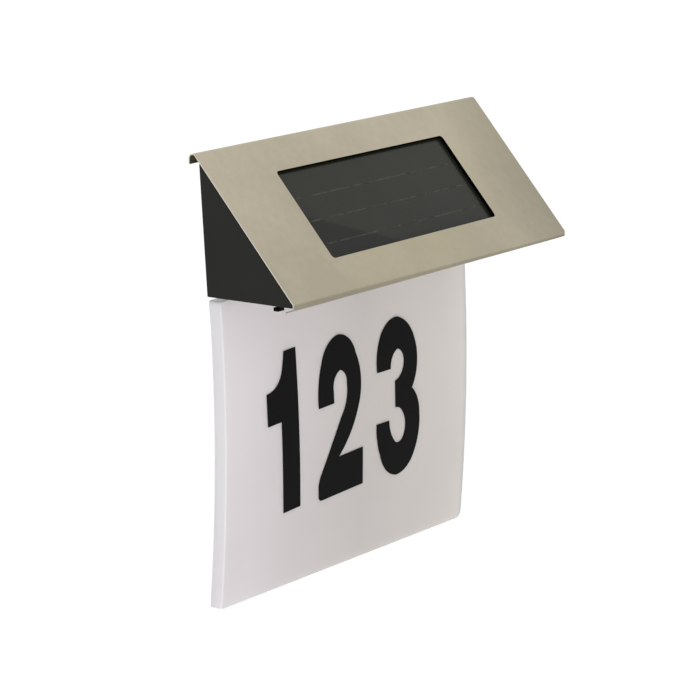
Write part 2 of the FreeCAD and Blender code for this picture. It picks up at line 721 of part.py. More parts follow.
# ---- back cover ----
def make_back_cover():
    half = box_width / 2
    box = block("cover_box", -half, wing_y, under, box_width, -wing_y, box_height)
    wing_half = cheek_inside - fit_gap
    wings = block("cover_wings", -wing_half, wing_front, under + base_wall + fit_gap, 2 * wing_half,
                  cover_wall, box_height - base_wall - fit_gap)
    body = fuse("cover_body", [box, wings])
    inside_front = wing_front - 1
    hollow = block("cover_hollow", -box_inside, inside_front, under + cover_wall, 2 * box_inside,
                   -cover_wall - inside_front, box_height - 2 * cover_wall)
    slot = block("tongue_slot", -tongue_width / 2 - fit_gap, tongue_front - fit_gap, under - 1, tongue_width + 2 * fit_gap,
                 tongue_gauge + 2 * fit_gap, cover_wall + 2)
    shell = cut("cover_shell", body, [hollow, slot])
    posts = [
        block(f"led_post_{index}", x - post_width / 2, wing_y, under + cover_wall / 2, post_width,
              -wing_y - cover_wall / 2, led_board_z - under - cover_wall / 2)
        for index, x in enumerate(led_screw_places)
    ]
    filled = fuse("cover_with_posts", [shell] + posts)
    holes = []
    for side in (-1, 1):
        x = side * keyhole_spacing / 2
        holes.append(rod(f"keyhole_entry_{side}", x, -cover_wall - 1, 0, keyhole_radius, cover_wall + 2, "y"))
        holes.append(
            block(f"keyhole_slot_{side}", x - keyhole_neck / 2, -cover_wall - 1, 0, keyhole_neck, cover_wall + 2, keyhole_rise)
        )
        holes.append(
            rod(f"keyhole_end_{side}", x, -cover_wall - 1, keyhole_rise, keyhole_neck / 2, cover_wall + 2, "y")
        )
        for level, screw_z in enumerate(case_screw_heights):
            screw_x = side * (cheek_inside - 2 * boss_radius)
            holes += countersink(f"case_{side}_{level}", screw_x, wing_y, screw_z)
    for index, x in enumerate(panel_screw_places):
        holes += countersink(f"panel_{index}", x, as_size(0), panel_screw_z)
    for index, x in enumerate(led_screw_places):
        holes.append(
            rod(f"led_pilot_{index}", x, led_board_y, under + cover_wall, small_screw_radius + thread_gap,
                led_board_z - under)
        )
    return cut("back_cover", filled, holes)


def countersink(name, x, y, z):
    # Clearance hole with a countersink that opens towards the wall, through one wall of the cover.
    head = screw_radius * head_factor
    return [
        rod(f"{name}_clearance", x, y - cover_wall - 1, z, screw_radius + screw_pass, cover_wall + 2, "y"),
        cone(f"{name}_sink", x, y - head_height, z, screw_radius, head, head_height, "y"),
    ]


def countersunk_screw(name, x, y, z, length):
    # Driven from the wall side, so its head lies in the plane y and its point is in front.
    head = screw_radius * head_factor
    shank = rod(f"{name}_shank", x, y - length, z, screw_radius, length - head_height, "y")
    top = cone(f"{name}_head", x, y - head_height, z, screw_radius, head, head_height, "y")
    whole = fuse(f"{name}_solid", [shank, top])
    drive = [
        centred_block(f"{name}_drive_a", x, y, z - head / 2, head * 0.24, head_height, head),
        centred_block(f"{name}_drive_b", x, y, z - head * 0.12, head, head_height, head * 0.24),
    ]
    return cut(name, whole, drive)


def pan_screw(name, x, y, z, radius, length, up=1):
    # Vertical screw. z is the seat of its head, and up tells which way the head lies.
    head = radius * head_factor
    thick = radius * 1.1
    if up > 0:
        pieces = [rod(f"{name}_shank", x, y, z - length, radius, length + thick / 2), rod(f"{name}_head", x, y, z, head, thick)]
        drive_z = z + thick / 2
    else:
        pieces = [rod(f"{name}_shank", x, y, z - thick / 2, radius, length + thick / 2), rod(f"{name}_head", x, y, z - thick, head, thick)]
        drive_z = z - thick
    whole = fuse(f"{name}_solid", pieces)
    drive = [
        centred_block(f"{name}_drive_a", x, y, drive_z, head * 1.1, head * 0.24, thick / 2),
        centred_block(f"{name}_drive_b", x, y, drive_z, head * 0.24, head * 1.1, thick / 2),
    ]
    return cut(name, whole, drive)


# ---- number panel ----
def panel_circle():
    # The panel's rear face is one arc between its top and bottom, both of them on the wall plane.
    radius = (panel_drop * panel_drop / 4 + panel_bow * panel_bow) / (2 * panel_bow)
    return radius, radius - panel_bow, under - panel_drop / 2


def make_light_panel():
    body = doc.addObject("PartDesign::Body", "panel_sheet")
    radius, centre_y, centre_z = panel_circle()
    top = under - fit_gap
    bottom = under - panel_drop

    def face_y(reach, z):
        return centre_y - root(reach * reach - (z - centre_z) * (z - centre_z))

    front = radius + panel_gauge
    corners = [(face_y(radius, bottom), bottom), (face_y(front, bottom), bottom), (face_y(front, top), top), (face_y(radius, top), top)]
    sketch = body.newObject("Sketcher::SketchObject", "panel_profile")
    sketch.AttachmentSupport = [(origin_plane(body, "YZ_Plane"), "")]
    sketch.MapMode = "FlatFace"
    points = [FreeCAD.Vector(u.number, v.number, 0) for u, v in corners]
    sketch.addGeometry(Part.LineSegment(points[0], points[1]), False)
    sketch.addGeometry(Part.LineSegment(points[2], points[3]), False)
    for line, end, index in ((0, 1, 0), (0, 2, 1), (1, 1, 2), (1, 2, 3)):
        for kind, value in (("DistanceX", corners[index][0]), ("DistanceY", corners[index][1])):
            number = sketch.addConstraint(Sketcher.Constraint(kind, -1, 1, line, end, value.number))
            sketch.setExpression(f"Constraints[{number}]", value.formula)
    middle = FreeCAD.Vector(centre_y.number, centre_z.number, 0)
    for reach, start, end, start_pin, end_pin in (
        (front, points[2], points[1], (1, 1), (0, 2)),
        (radius, points[3], points[0], (1, 2), (0, 1)),
    ):
        first = math.atan2(start.y - middle.y, start.x - middle.x) % (2 * math.pi)
        last = math.atan2(end.y - middle.y, end.x - middle.x) % (2 * math.pi)
        circle = Part.Circle(middle, FreeCAD.Vector(0, 0, 1), reach.number)
        arc = sketch.addGeometry(Part.ArcOfCircle(circle, first, last), False)
        sketch.addConstraint(Sketcher.Constraint("Coincident", arc, 1, *start_pin))
        sketch.addConstraint(Sketcher.Constraint("Coincident", arc, 2, *end_pin))
        number = sketch.addConstraint(Sketcher.Constraint("Radius", arc, reach.number))
        sketch.setExpression(f"Constraints[{number}]", reach.formula)
    pad = body.newObject("PartDesign::Pad", "panel_pad")
    pad.Profile = sketch
    pad.Midplane = True
    bind(pad, "Length", panel_width)
    doc.recompute()
    corner_edges = []
    for index, edge in enumerate(pad.Shape.Edges, 1):
        box = edge.BoundBox
        at_side = abs(abs(box.XMin) - panel_width.number / 2) < 0.01 and box.XLength < 0.01
        if at_side and box.ZLength < 0.01 * panel_drop.number:
            corner_edges.append(f"Edge{index}")
    rounded = body.newObject("PartDesign::Fillet", "panel_corners")
    rounded.Base = (pad, corner_edges)
    bind(rounded, "Radius", panel_corner)
    doc.recompute()
    rim_edges = []
    for index, edge in enumerate(rounded.Shape.Edges, 1):
        box = edge.BoundBox
        across = box.XLength < 0.01 and box.ZLength < 0.01 * panel_drop.number
        through = edge.Length < panel_gauge.number * 1.1 and box.YLength > panel_gauge.number * 0.9
        if not across and not through:
            rim_edges.append(f"Edge{index}")
    softened = body.newObject("PartDesign::Fillet", "panel_rim")
    softened.Base = (rounded, rim_edges)
    bind(softened, "Radius", panel_edge)
    doc.recompute()
    tongue = block("tongue", -tongue_width / 2, tongue_front, under - 4 * fit_gap - panel_edge, tongue_width, tongue_gauge,
                   tongue_height + 4 * fit_gap + panel_edge)
    whole = fuse("panel_with_tongue", [body, tongue])
    holes = [
        rod(f"tongue_hole_{index}", x, tongue_front - 1, panel_screw_z, screw_radius + screw_pass, panel_gauge + 2, "y")
        for index, x in enumerate(panel_screw_places)
    ]
    return cut("light_panel", whole, holes)


# Digit outlines on a height of 67, from their middles. Each step is a line to a point, or an arc through one
# point to another.
one_outline = [
    (-10.9, 18.6), ((-3.9, 20.4), (0.3, 26.0)), ((1.3, 29.6), (2.1, 33.5)), (10.2, 33.5), (10.2, -33.5),
    (-1.5, -33.5), (-1.5, 5.0), (-10.9, 5.0),
]
two_outline = [
    (-15.9, 5.9), ((-15.6, 15.2), (-12.6, 25.0)), ((-7.8, 31.3), (-0.4, 33.9)), ((7.0, 31.0), (11.8, 23.6)),
    ((14.7, 13.8), (13.6, 3.8)), ((7.6, -7.6), (-2.3, -17.5)), (15.2, -17.5), (15.2, -33.4), (-14.6, -33.4),
    ((-16.1, -32.8), (-16.7, -31.3)), (-16.8, -27.2), ((-15.9, -24.2), (-14.4, -21.8)), (0.3, -0.6),
    ((4.2, 6.0), (4.7, 12.0)), ((3.2, 17.0), (-0.1, 18.9)), ((-3.9, 16.3), (-5.1, 11.0)), (-5.0, 5.9),
]
three_outline = [
    (-15.9, 12.6), ((-15.9, 20.2), (-13.4, 27.4)), ((-8.0, 32.6), (-0.4, 34.2)), ((7.6, 30.0), (12.4, 23.0)),
    ((13.9, 18.5), (14.3, 13.4)), ((13.2, 7.2), (10.3, 1.9)), ((14.4, -3.0), (16.2, -10.0)),
    ((15.9, -18.5), (13.0, -26.2)), ((7.4, -32.2), (-0.6, -34.3)), ((-8.4, -30.6), (-13.0, -23.4)),
    ((-15.6, -16.5), (-16.2, -9.5)), (-6.8, -9.5), ((-5.6, -14.6), (-3.2, -18.2)), ((0.4, -20.2), (4.0, -18.3)),
    ((5.6, -12.6), (3.8, -8.0)), ((1.3, -5.4), (-2.1, -4.6)), (-2.5, 7.0), ((1.8, 9.0), (4.0, 13.0)),
    ((3.0, 18.3), (-0.6, 20.5)), ((-4.2, 18.0), (-5.8, 12.6)),
]
outline_height = 67


def make_numeral(name, outline, middle_x, lean):
    # A vinyl digit: its outline is driven through the thin layer that lies on the panel's bowed face.
    scale = numeral_height.number / outline_height
    middle = FreeCAD.Vector(middle_x.number, 0, (under - numeral_drop).number)
    turn = FreeCAD.Rotation(FreeCAD.Vector(0, 1, 0), -lean.number)

    def at(point):
        return middle + turn.multVec(FreeCAD.Vector(point[0] * scale, -10 * panel_gauge.number, point[1] * scale))

    edges = []
    here = at(outline[0])
    for step in outline[1:] + [outline[0]]:
        if isinstance(step[0], tuple):
            through, end = at(step[0]), at(step[1])
            edges.append(Part.Arc(here, through, end).toShape())
        else:
            end = at(step)
            edges.append(Part.LineSegment(here, end).toShape())
        here = end
    drive = Part.Face(Part.Wire(edges)).extrude(FreeCAD.Vector(0, 10 * panel_gauge.number, 0))
    radius, centre_y, centre_z = panel_circle()
    half = panel_width.number / 2
    start = FreeCAD.Vector(-half, centre_y.number, centre_z.number)
    along = FreeCAD.Vector(1, 0, 0)
    face_radius = radius.number + panel_gauge.number
    layer = Part.makeCylinder(face_radius + numeral_gauge.number, 2 * half, start, along)
    layer = layer.cut(Part.makeCylinder(face_radius, 2 * half, start, along))
    made = doc.addObject("Part::Feature", name)
    made.Shape = drive.common(layer).Solids[0]
    return made


# ---- solar panel ----
def make_solar():
    left = -solar_length / 2
    cell_left = -cell_length / 2
    board = roof_block("solar_board", left, solar_start, -face_depth - resin_gauge - cell_gauge - solar_board_gauge,
                       solar_length, solar_height, solar_board_gauge)
    first = solar_start + cell_margin_low + cell_gap / 2
    cells = [
        roof_block(f"solar_strip_{index}", cell_left, first + index * cell_pitch, -face_depth - resin_gauge - cell_gauge,
                   cell_length, cell_pitch - cell_gap, cell_gauge)
        for index in range(4)
    ]
    ribbons = []
    for index in range(3):
        # the strips are in series, so the ribbons lie at alternate ends
        x = cell_left - ribbon_width if index % 2 else -cell_left
        ribbons.append(
            roof_block(f"solar_ribbon_{index}", x, first + index * cell_pitch + cell_pitch / 2,
                       -face_depth - resin_gauge - cell_gauge, ribbon_width, cell_pitch - cell_gap, cell_gauge)
        )
    strips = group("solar_cells", cells)
    links = group("solar_ribbons", ribbons)
    clear = roof_block("resin_block", left, solar_start, -face_depth - resin_gauge - cell_gauge, solar_length, solar_height,
                       resin_gauge + cell_gauge)
    resin = cut("solar_resin", clear, cells + ribbons)
    ring = roof_block("seal_block", left, solar_start, -face_depth, solar_length, solar_height, seal_gauge)
    margin = 2 * fit_gap + window_corner
    hole = roof_block("seal_hole", -window_length / 2 - margin, window_margin - margin,
                      -face_depth - 1, window_length + 2 * margin, window_height + 2 * margin, seal_gauge + 2)
    seal = cut("solar_seal", ring, [hole])
    return [board, strips, links, resin, seal]


# ---- battery and its bay ----
def make_battery():
    nub_start = battery_length / 2 - nub_length
    can = rod("battery_can", -(battery_length / 2), battery_y, battery_z, battery_radius, battery_length - nub_length, "x")
    nub = rod("battery_nub", nub_start - 0.5, battery_y, battery_z, nub_radius, nub_length + 0.5, "x")
    cell = fuse("battery_cell", [can, nub])
    height = contact_top - contact_bottom
    terminal = block("battery_terminal", bay_right - contact_gauge, battery_y - contact_width / 2, contact_bottom,
                     contact_gauge, contact_width, height)
    # leaf spring: a plate on the bay's end wall, folded at its foot and bowed out to the cell
    room = spring_room - fit_gap
    body = doc.addObject("PartDesign::Body", "battery_spring")
    low = contact_bottom
    profile = outline_sketch(
        body, "spring_profile", "XZ_Plane",
        [
            (bay_left, low),
            (bay_left, low + height),
            (bay_left + contact_gauge, low + height),
            (bay_left + contact_gauge, low + 3 * contact_gauge),
            (bay_left + room - 1.25 * contact_gauge, battery_z - contact_gauge),
            (bay_left + room * 0.55, battery_z + height * 0.22),
            (bay_left + room * 0.55 + contact_gauge, battery_z + height * 0.22 + contact_gauge * 0.7),
            (bay_left + room, battery_z - contact_gauge),
            (bay_left + 3 * contact_gauge, low),
        ],
    )
    pad = body.newObject("PartDesign::Pad", "spring_pad")
    pad.Profile = profile
    pad.Midplane = True
    bind(pad, "Length", contact_width)
    body.setExpression("Placement.Base.y", battery_y.formula)
    return [cell, terminal, body]


def make_door():
    bay_length = bay_right - bay_left
    recess_width = 2 * (bay_half + door_margin)
    plate = block("door_plate", bay_left - door_tab + door_gap, battery_y - recess_width / 2 + door_gap, under,
                  bay_length + 2 * door_tab - 2 * door_gap, recess_width - 2 * door_gap, door_gauge)
    lip = block("door_lip", bay_left + door_gap, battery_y - bay_half + door_gap, under + door_gauge / 2,
                bay_length - 2 * door_gap, 2 * bay_half - 2 * door_gap, base_wall - door_gauge / 2)
    screw_x = [bay_left - door_tab / 2, bay_right + door_tab / 2]
    whole = fuse("door_body", [plate, lip])
    sink = door_gauge / 2
    holes = []
    screws = []
    for index, x in enumerate(screw_x):
        holes.append(rod(f"door_hole_{index}", x, battery_y, under - 1, screw_radius + screw_pass, door_gauge + 2))
        holes.append(rod(f"door_sink_{index}", x, battery_y, under - 1, screw_radius * head_factor + fit_gap, 1 + sink))
        length = door_boss_top - under - sink - 2 * rib_gauge
        screws.append(door_screw(f"door_screw_{index}", x, sink, length))
    grip = [
        block(f"door_grip_{index}", bay_left + bay_length * share, battery_y - bay_half * 0.6, under - 1,
              rib_gauge / 2, bay_half * 1.2, 1 + door_gauge / 4)
        for index, share in enumerate((0.42, 0.47, 0.53, 0.58))
    ]
    door = cut("battery_door", whole, holes + grip)
    ring_block = block("door_seal_block", bay_left - door_margin + 3 * door_gap, battery_y - bay_half - door_margin + 3 * door_gap,
                       under + door_gauge, bay_length + 2 * door_margin - 6 * door_gap,
                       2 * (bay_half + door_margin) - 6 * door_gap, seal_gauge)
    ring_hole = block("door_seal_hole", bay_left, battery_y - bay_half, under, bay_length, 2 * bay_half, base_wall)
    return [door, cut("door_seal", ring_block, [ring_hole]), group("door_screws", screws)]


def door_screw(name, x, sink, length):
    head = screw_radius * head_factor
    shank = rod(f"{name}_shank", x, battery_y, under + sink, screw_radius, length)
    top = rod(f"{name}_head", x, battery_y, under + sink * 0.2, head, sink * 0.8)
    whole = fuse(f"{name}_solid", [shank, top])
    drive = [
        centred_block(f"{name}_drive_a", x, battery_y, under, head * 1.1, head * 0.24, sink * 0.6),
        centred_block(f"{name}_drive_b", x, battery_y, under, head * 0.24, head * 1.1, sink * 0.6),
    ]
    return cut(name, whole, drive)


# ---- switch ----
def make_switch():
    box = centred_block("switch_box", switch_middle, -switch_front, under + switch_floor, switch_length, switch_depth, switch_height)
    track = block("switch_track", cap_left + cap_length / 2 - stem_length / 2 - slide_gap,
                  -switch_front - stem_width / 2 - slide_gap, under, stem_length + switch_travel + 2 * slide_gap,
                  stem_width + 2 * slide_gap, base_wall + slide_gap)
    body = cut("switch_body", box, [track])
    cap_z = under - cap_drop
    cap = block("switch_cap", cap_left, -switch_front - cap_width / 2, cap_z, cap_length, cap_width, cap_height)
    stem = block("switch_stem", cap_left + cap_length / 2 - stem_length / 2, -switch_front - stem_width / 2,
                 cap_z + cap_height / 2, stem_length, stem_width, cap_drop - cap_height / 2 + base_wall)
    return [body, fuse("switch_slider", [cap, stem])]


# ---- electronics ----
def make_boards():
    board_y = -board_wall_gap - board_depth
    board_z = under + board_rise
    plate = block("control_plate", board_left, board_y, board_z, board_length, board_depth, board_gauge)
    board = cut("control_board", plate, [
        rod(f"board_hole_{index}", x, board_screw_y, board_z - 1, small_screw_radius + fit_gap, board_gauge + 2)
        for index, x in enumerate(board_screw_places)
    ])
    top = board_z + board_gauge
    middle = board_left + board_length / 2
    chip = centred_block("control_chip", middle, -board_wall_gap - board_depth * 0.4, top, chip_length, chip_depth, chip_height)
    coil = rod("boost_inductor", middle - coil_length / 2, -board_wall_gap - board_depth * 0.8, top + coil_radius, coil_radius,
               coil_length, "x")
    can = rod("smoothing_capacitor", middle + board_length * 0.28, -board_wall_gap - board_depth * 0.72, top, can_radius,
              can_height)
    strip_plate = block("led_strip", -led_board_length / 2, led_board_y - led_board_depth / 2, led_board_z, led_board_length,
                        led_board_depth, board_gauge)
    strip = cut("led_board", strip_plate, [
        rod(f"led_hole_{index}", x, led_board_y, led_board_z - 1, small_screw_radius + fit_gap, board_gauge + 2)
        for index, x in enumerate(led_screw_places)
    ])
    lamps = [
        centred_block(f"led_{index}", led_pitch * (index - 1.5), tongue_front + tongue_gauge / 2, led_board_z - led_height, led_size, led_depth, led_height)
        for index in range(4)
    ]
    return [board, chip, coil, can, strip, group("leds", lamps)]


def make_screws():
    case = []
    for side in (-1, 1):
        for level, screw_z in enumerate(case_screw_heights):
            case.append(
                countersunk_screw(f"case_screw_{side}_{level}", side * (cheek_inside - 2 * boss_radius), wing_y, screw_z,
                                  cover_wall + boss_length - 2 * rib_gauge)
            )
    panel = [
        countersunk_screw(f"panel_screw_{index}", x, as_size(0), panel_screw_z, panel_boss_end - 2 * rib_gauge)
        for index, x in enumerate(panel_screw_places)
    ]
    board = [
        pan_screw(f"board_screw_{index}", x, board_screw_y, under + board_rise + board_gauge, small_screw_radius,
                  board_rise + board_gauge - base_wall)
        for index, x in enumerate(board_screw_places)
    ]
    strip = [
        pan_screw(f"led_screw_{index}", x, led_board_y, led_board_z + board_gauge, small_screw_radius, tongue_height / 2)
        for index, x in enumerate(led_screw_places)
    ]
    return [group("case_screws", case), group("panel_screws", panel), group("board_screws", board),
            group("led_board_screws", strip)]


# ---- leads ----
def make_lead(name, route):
    # An insulated lead along straight runs joined by arcs, each as large as its runs allow.
    points = [FreeCAD.Vector(*[as_size(value).number for value in point]) for point in route]
    edges = []
    start = points[0]
    smallest = None
    for before, corner, after in zip(points, points[1:], points[2:]):
        into = corner.sub(before)
        out = after.sub(corner)
        turn = into.getAngle(out)
        setback = 0.45 * min(into.Length, out.Length)
        radius = min(setback / math.tan(turn / 2), 30 * lead_radius.number)
        setback = radius * math.tan(turn / 2)
        smallest = radius if smallest is None else min(smallest, radius)
        arc_start = corner - into.normalize() * setback
        arc_end = corner + out.normalize() * setback
        inward = (arc_start + arc_end) * 0.5 - corner
        reach = math.hypot(radius, setback) - radius
        through = corner + inward.normalize() * reach
        edges.append(Part.LineSegment(start, arc_start).toShape())
        edges.append(Part.Arc(arc_start, through, arc_end).toShape())
        start = arc_end
    edges.append(Part.LineSegment(start, points[-1]).toShape())
    path = Part.Wire(edges)
    direction = points[1].sub(points[0])
    ring = Part.Wire([Part.Circle(points[0], direction, lead_radius.number).toShape()])
    made = doc.addObject("Part::Feature", name)
    made.Shape = path.makePipeShell([ring], True, False)
    volume = math.pi * lead_radius.number ** 2 * path.Length
    print(name, "length", round(path.Length, 1), "least radius", round(smallest, 1), "volume ratio",
          round(made.Shape.Volume / volume, 4))
    return made


def make_leads():
    pitch = 2.4 * lead_radius
    floor = under + base_wall + lead_radius
    board_top = under + board_rise + board_gauge
    board_rear = -board_wall_gap
    leads = []
    # switch to control board, along the front of the floor and over the board's left edge
    switch_end = switch_middle + switch_length / 2
    for index in range(2):
        start = board_lead_edge / 2 - switch_front - pitch * index
        lane = battery_y - bay_half - door_margin - rib_gauge - lane_gap - pitch * index
        riser = board_left - 3.2 * pitch + pitch * index
        row = board_rear - board_depth * 0.7 - 1.4 * pitch * index
        over = board_top + board_lead_rise * 0.36
        leads.append(make_lead(f"switch_lead_{index + 1}", [
            (switch_end, start, floor + lead_radius * 2.4),
            (switch_end + switch_lead_straight, start, floor + lead_radius * 2.4),
            (switch_end + switch_lead_drop, lane, floor),
            (board_left - 5.6 * pitch + pitch * index, lane, floor),
            (riser, row, floor),
            (riser, row, over),
            (board_left + 2 * pitch, row, over),
            (board_left + 2 * pitch, row, board_top),
        ]))
    # battery contacts to control board, along the top of the bay's rear wall
    lane = battery_y + bay_half + rib_gauge / 2
    shelf = battery_z + lead_radius + fit_gap
    contact_y = battery_y + contact_width / 4
    for name, x, column in (("plus", bay_right - contact_gauge / 2, 1), ("minus", bay_left + contact_gauge / 2, 2)):
        rise = board_lead_rise * 0.44
        pad_x = board_left + 2 * pitch * column
        route = [(x, contact_y, contact_top), (x, contact_y, contact_top + rise)]
        if name == "minus":
            route.append((x + board_lead_rise * 0.7, lane, shelf + rise * 0.75))
            route.append((bay_right - board_lead_rise, lane, shelf + rise * 0.75))
        route += [
            (bay_right + board_lead_rise, lane + pitch * (column / 2 - 0.5), shelf + pitch * column * 0.7),
            (pad_x, board_rear - board_lead_edge * 0.75, board_top + rise + pitch * column),
            (pad_x, board_rear - board_lead_edge * 0.75, board_top),
        ]
        leads.append(make_lead(f"battery_lead_{name}", route))
    # solar panel to control board
    for index in range(2):
        x = board_left + solar_lead_place + 2 * pitch * index
        pad_y, pad_z = slope_point(flat_length * 0.58, -solar_back)
        out_y, out_z = slope_point(flat_length * 0.58, -solar_back - solar_lead_out)
        leads.append(make_lead(f"solar_lead_{index + 1}", [
            (x - solar_lead_shift, pad_y, pad_z),
            (x - solar_lead_shift, out_y, out_z),
            (x, board_rear - board_lead_edge, board_top + board_lead_rise),
            (x, board_rear - board_lead_edge, board_top),
        ]))
    # control board to the strip of lamps
    for index in range(2):
        x = tongue_width / 2 - lamp_lead_edge - 2 * pitch * index
        leads.append(make_lead(f"lamp_lead_{index + 1}", [
            (x + lamp_lead_edge, board_rear - board_lead_edge, board_top),
            (x + lamp_lead_edge, board_rear - board_lead_edge, board_top + board_lead_rise * 0.9),
            (x, led_board_y, led_board_z + board_gauge + lamp_lead_rise),
            (x, led_board_y, led_board_z + board_gauge),
        ]))
    return leads


# ---- shared places of screws and switch ----
case_screw_heights = [under + case_screw_low, under + case_screw_low + case_screw_rise]
panel_screw_places = [panel_screw_pitch * step for step in (-1, 0, 1)]
panel_boss_end = battery_wall_gap - bay_half
contact_bottom = battery_z - battery_radius + fit_gap
contact_top = battery_z + battery_radius * 0.6
door_boss_top = under + door_boss_rise
board_screw_places = [board_left + boss_radius + 0.5, board_left + board_length - boss_radius - 0.5]
board_screw_y = -board_wall_gap - board_depth / 2
led_screw_places = [-(tongue_width / 2 + post_width / 2 + 2 * fit_gap), tongue_width / 2 + post_width / 2 + 2 * fit_gap]
led_board_y = tongue_front + tongue_gauge / 2 - 0.9
cap_left = -cheek_face + switch_left
switch_middle = cap_left + cap_length / 2 + switch_travel / 2
head_height = screw_radius

print("overall height", round((top_z + top_bend - under + panel_drop).number, 2), "flat", round(flat_length.number, 2))

pieces = [make_hood(), make_tape(), make_housing(), make_back_cover(), make_light_panel()]
pieces.append(make_numeral("numeral_1", one_outline, numeral_1_x, numeral_1_lean))
pieces.append(make_numeral("numeral_2", two_outline, numeral_2_x, numeral_2_lean))
pieces.append(make_numeral("numeral_3", three_outline, numeral_3_x, numeral_3_lean))
pieces += make_solar() + make_battery() + make_door() + make_switch() + make_boards() + make_screws() + make_leads()

for piece in pieces:
    piece.Label = piece.Name

doc.recompute()
failed = [item.Name for item in doc.Objects if "Invalid" in item.State or "Error" in item.State]
if failed:
    raise RuntimeError(f"failed objects: {failed}")
for piece in pieces:
    if piece.Shape.isNull() or not piece.Shape.isValid() or not piece.Shape.Solids:
        raise RuntimeError(f"bad shape: {piece.Label}")

os.makedirs("parts", exist_ok=True)
for piece in pieces:
    piece.Shape.exportStep(f"parts/{piece.Label}.step")
    print(piece.Label, len(piece.Shape.Solids), round(piece.Shape.Volume, 1))
print(len(pieces), "nodes")
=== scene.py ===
import math

import bmesh
import bpy
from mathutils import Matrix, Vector


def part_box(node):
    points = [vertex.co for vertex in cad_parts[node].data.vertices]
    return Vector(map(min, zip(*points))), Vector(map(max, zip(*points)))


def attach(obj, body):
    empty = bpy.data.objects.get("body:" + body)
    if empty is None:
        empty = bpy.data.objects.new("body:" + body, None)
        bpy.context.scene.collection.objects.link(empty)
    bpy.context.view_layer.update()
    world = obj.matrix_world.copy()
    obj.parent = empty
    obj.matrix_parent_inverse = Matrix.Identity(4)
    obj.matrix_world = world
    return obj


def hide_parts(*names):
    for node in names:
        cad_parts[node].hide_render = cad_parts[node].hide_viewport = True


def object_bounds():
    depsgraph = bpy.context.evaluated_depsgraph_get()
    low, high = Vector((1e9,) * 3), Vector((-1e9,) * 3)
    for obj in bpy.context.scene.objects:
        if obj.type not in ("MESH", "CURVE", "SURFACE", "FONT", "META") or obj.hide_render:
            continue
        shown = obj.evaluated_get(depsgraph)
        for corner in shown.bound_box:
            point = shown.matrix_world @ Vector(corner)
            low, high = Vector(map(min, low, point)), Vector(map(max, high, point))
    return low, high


# Solar house number sign. Metres, the wall is the plane y = 0, +Z up, the viewer stands on the -Y side.
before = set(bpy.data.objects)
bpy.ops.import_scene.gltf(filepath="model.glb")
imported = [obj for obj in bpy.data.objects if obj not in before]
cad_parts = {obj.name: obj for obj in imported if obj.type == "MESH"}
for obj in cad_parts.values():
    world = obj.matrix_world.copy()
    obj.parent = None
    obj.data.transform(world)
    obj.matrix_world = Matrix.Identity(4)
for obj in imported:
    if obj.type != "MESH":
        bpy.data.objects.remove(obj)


def boundsList():
    return [[round(value, 6) for value in corner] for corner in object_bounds()]


boxFromCad = boundsList()
mm = 0.001
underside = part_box("housing")[0][2]
print("frame loaded", boxFromCad)


# nodes copied by softenedCopy that ride on a body other than the sign
carriedBy = {"battery_door": "battery_cover"}

copied = {"weld": 0.002 * mm, "flatWithin": 0.2, "cornerOver": 35}  # the angles are in degrees


# helpers

def linear(hexText):
    # sRGB hex to the linear values that the nodes take, with full alpha
    parts = [int(hexText.lstrip("#")[i:i + 2], 16) / 255 for i in (0, 2, 4)]
    return [p / 12.92 if p <= 0.04045 else ((p + 0.055) / 1.055) ** 2.4 for p in parts] + [1.0]


def setNode(tree, node, settings=None, links=None):
    # settings are properties or input values, links are input name -> output socket or a list of them
    for key, value in (settings or {}).items():
        if isinstance(key, str) and hasattr(node, key):
            setattr(node, key, value)
        else:
            node.inputs[key].default_value = value
    for key, sockets in (links or {}).items():
        for socket in sockets if isinstance(sockets, list) else [sockets]:
            tree.links.new(socket, node.inputs[key])
    return node


def addNode(tree, kind, settings=None, links=None):
    return setNode(tree, tree.nodes.new(kind), settings, links)


def setStops(ramp, *stops):
    # a stop is a position and a hex colour. The ramp's own two stops come first, the rest are added
    elements = ramp.color_ramp.elements
    for index, (position, colour) in enumerate(stops):
        element = elements[index] if index < 2 else elements.new(position)
        element.position = position
        element.color = linear(colour)


def newMaterial(name):
    # returns the material, its tree and its surface shader
    made = bpy.data.materials.new(name)
    made.use_nodes = True
    tree = made.node_tree
    return made, tree, tree.nodes["Principled BSDF"]


def dress(obj, material):
    obj.data.materials.clear()
    obj.data.materials.append(material)
    for polygon in obj.data.polygons:
        polygon.material_index = 0


def evenShading(obj, degrees=30):
    # smooth over small angles, with large flats kept flat by their area
    for polygon in obj.data.polygons:
        polygon.use_smooth = True
    obj.data.set_sharp_from_angle(angle=math.radians(degrees))
    weigh = obj.modifiers.new("even", "WEIGHTED_NORMAL")
    weigh.mode = "FACE_AREA"
    weigh.weight = 60
    weigh.keep_sharp = True
    settle(obj)


def pieceFromMesh(name, mesh):
    mesh.name = name
    obj = bpy.data.objects.new(name, mesh)
    bpy.context.scene.collection.objects.link(obj)
    return obj


def pieceFromShape(name, shape):
    mesh = bpy.data.meshes.new(name)
    shape.to_mesh(mesh)
    shape.free()
    return pieceFromMesh(name, mesh)


def settle(obj):
    # bakes the object's modifiers into a plain mesh
    bpy.context.view_layer.update()
    evaluated = obj.evaluated_get(bpy.context.evaluated_depsgraph_get())
    mesh = bpy.data.meshes.new_from_object(evaluated)
    obj.modifiers.clear()
    obj.data = mesh
    return obj


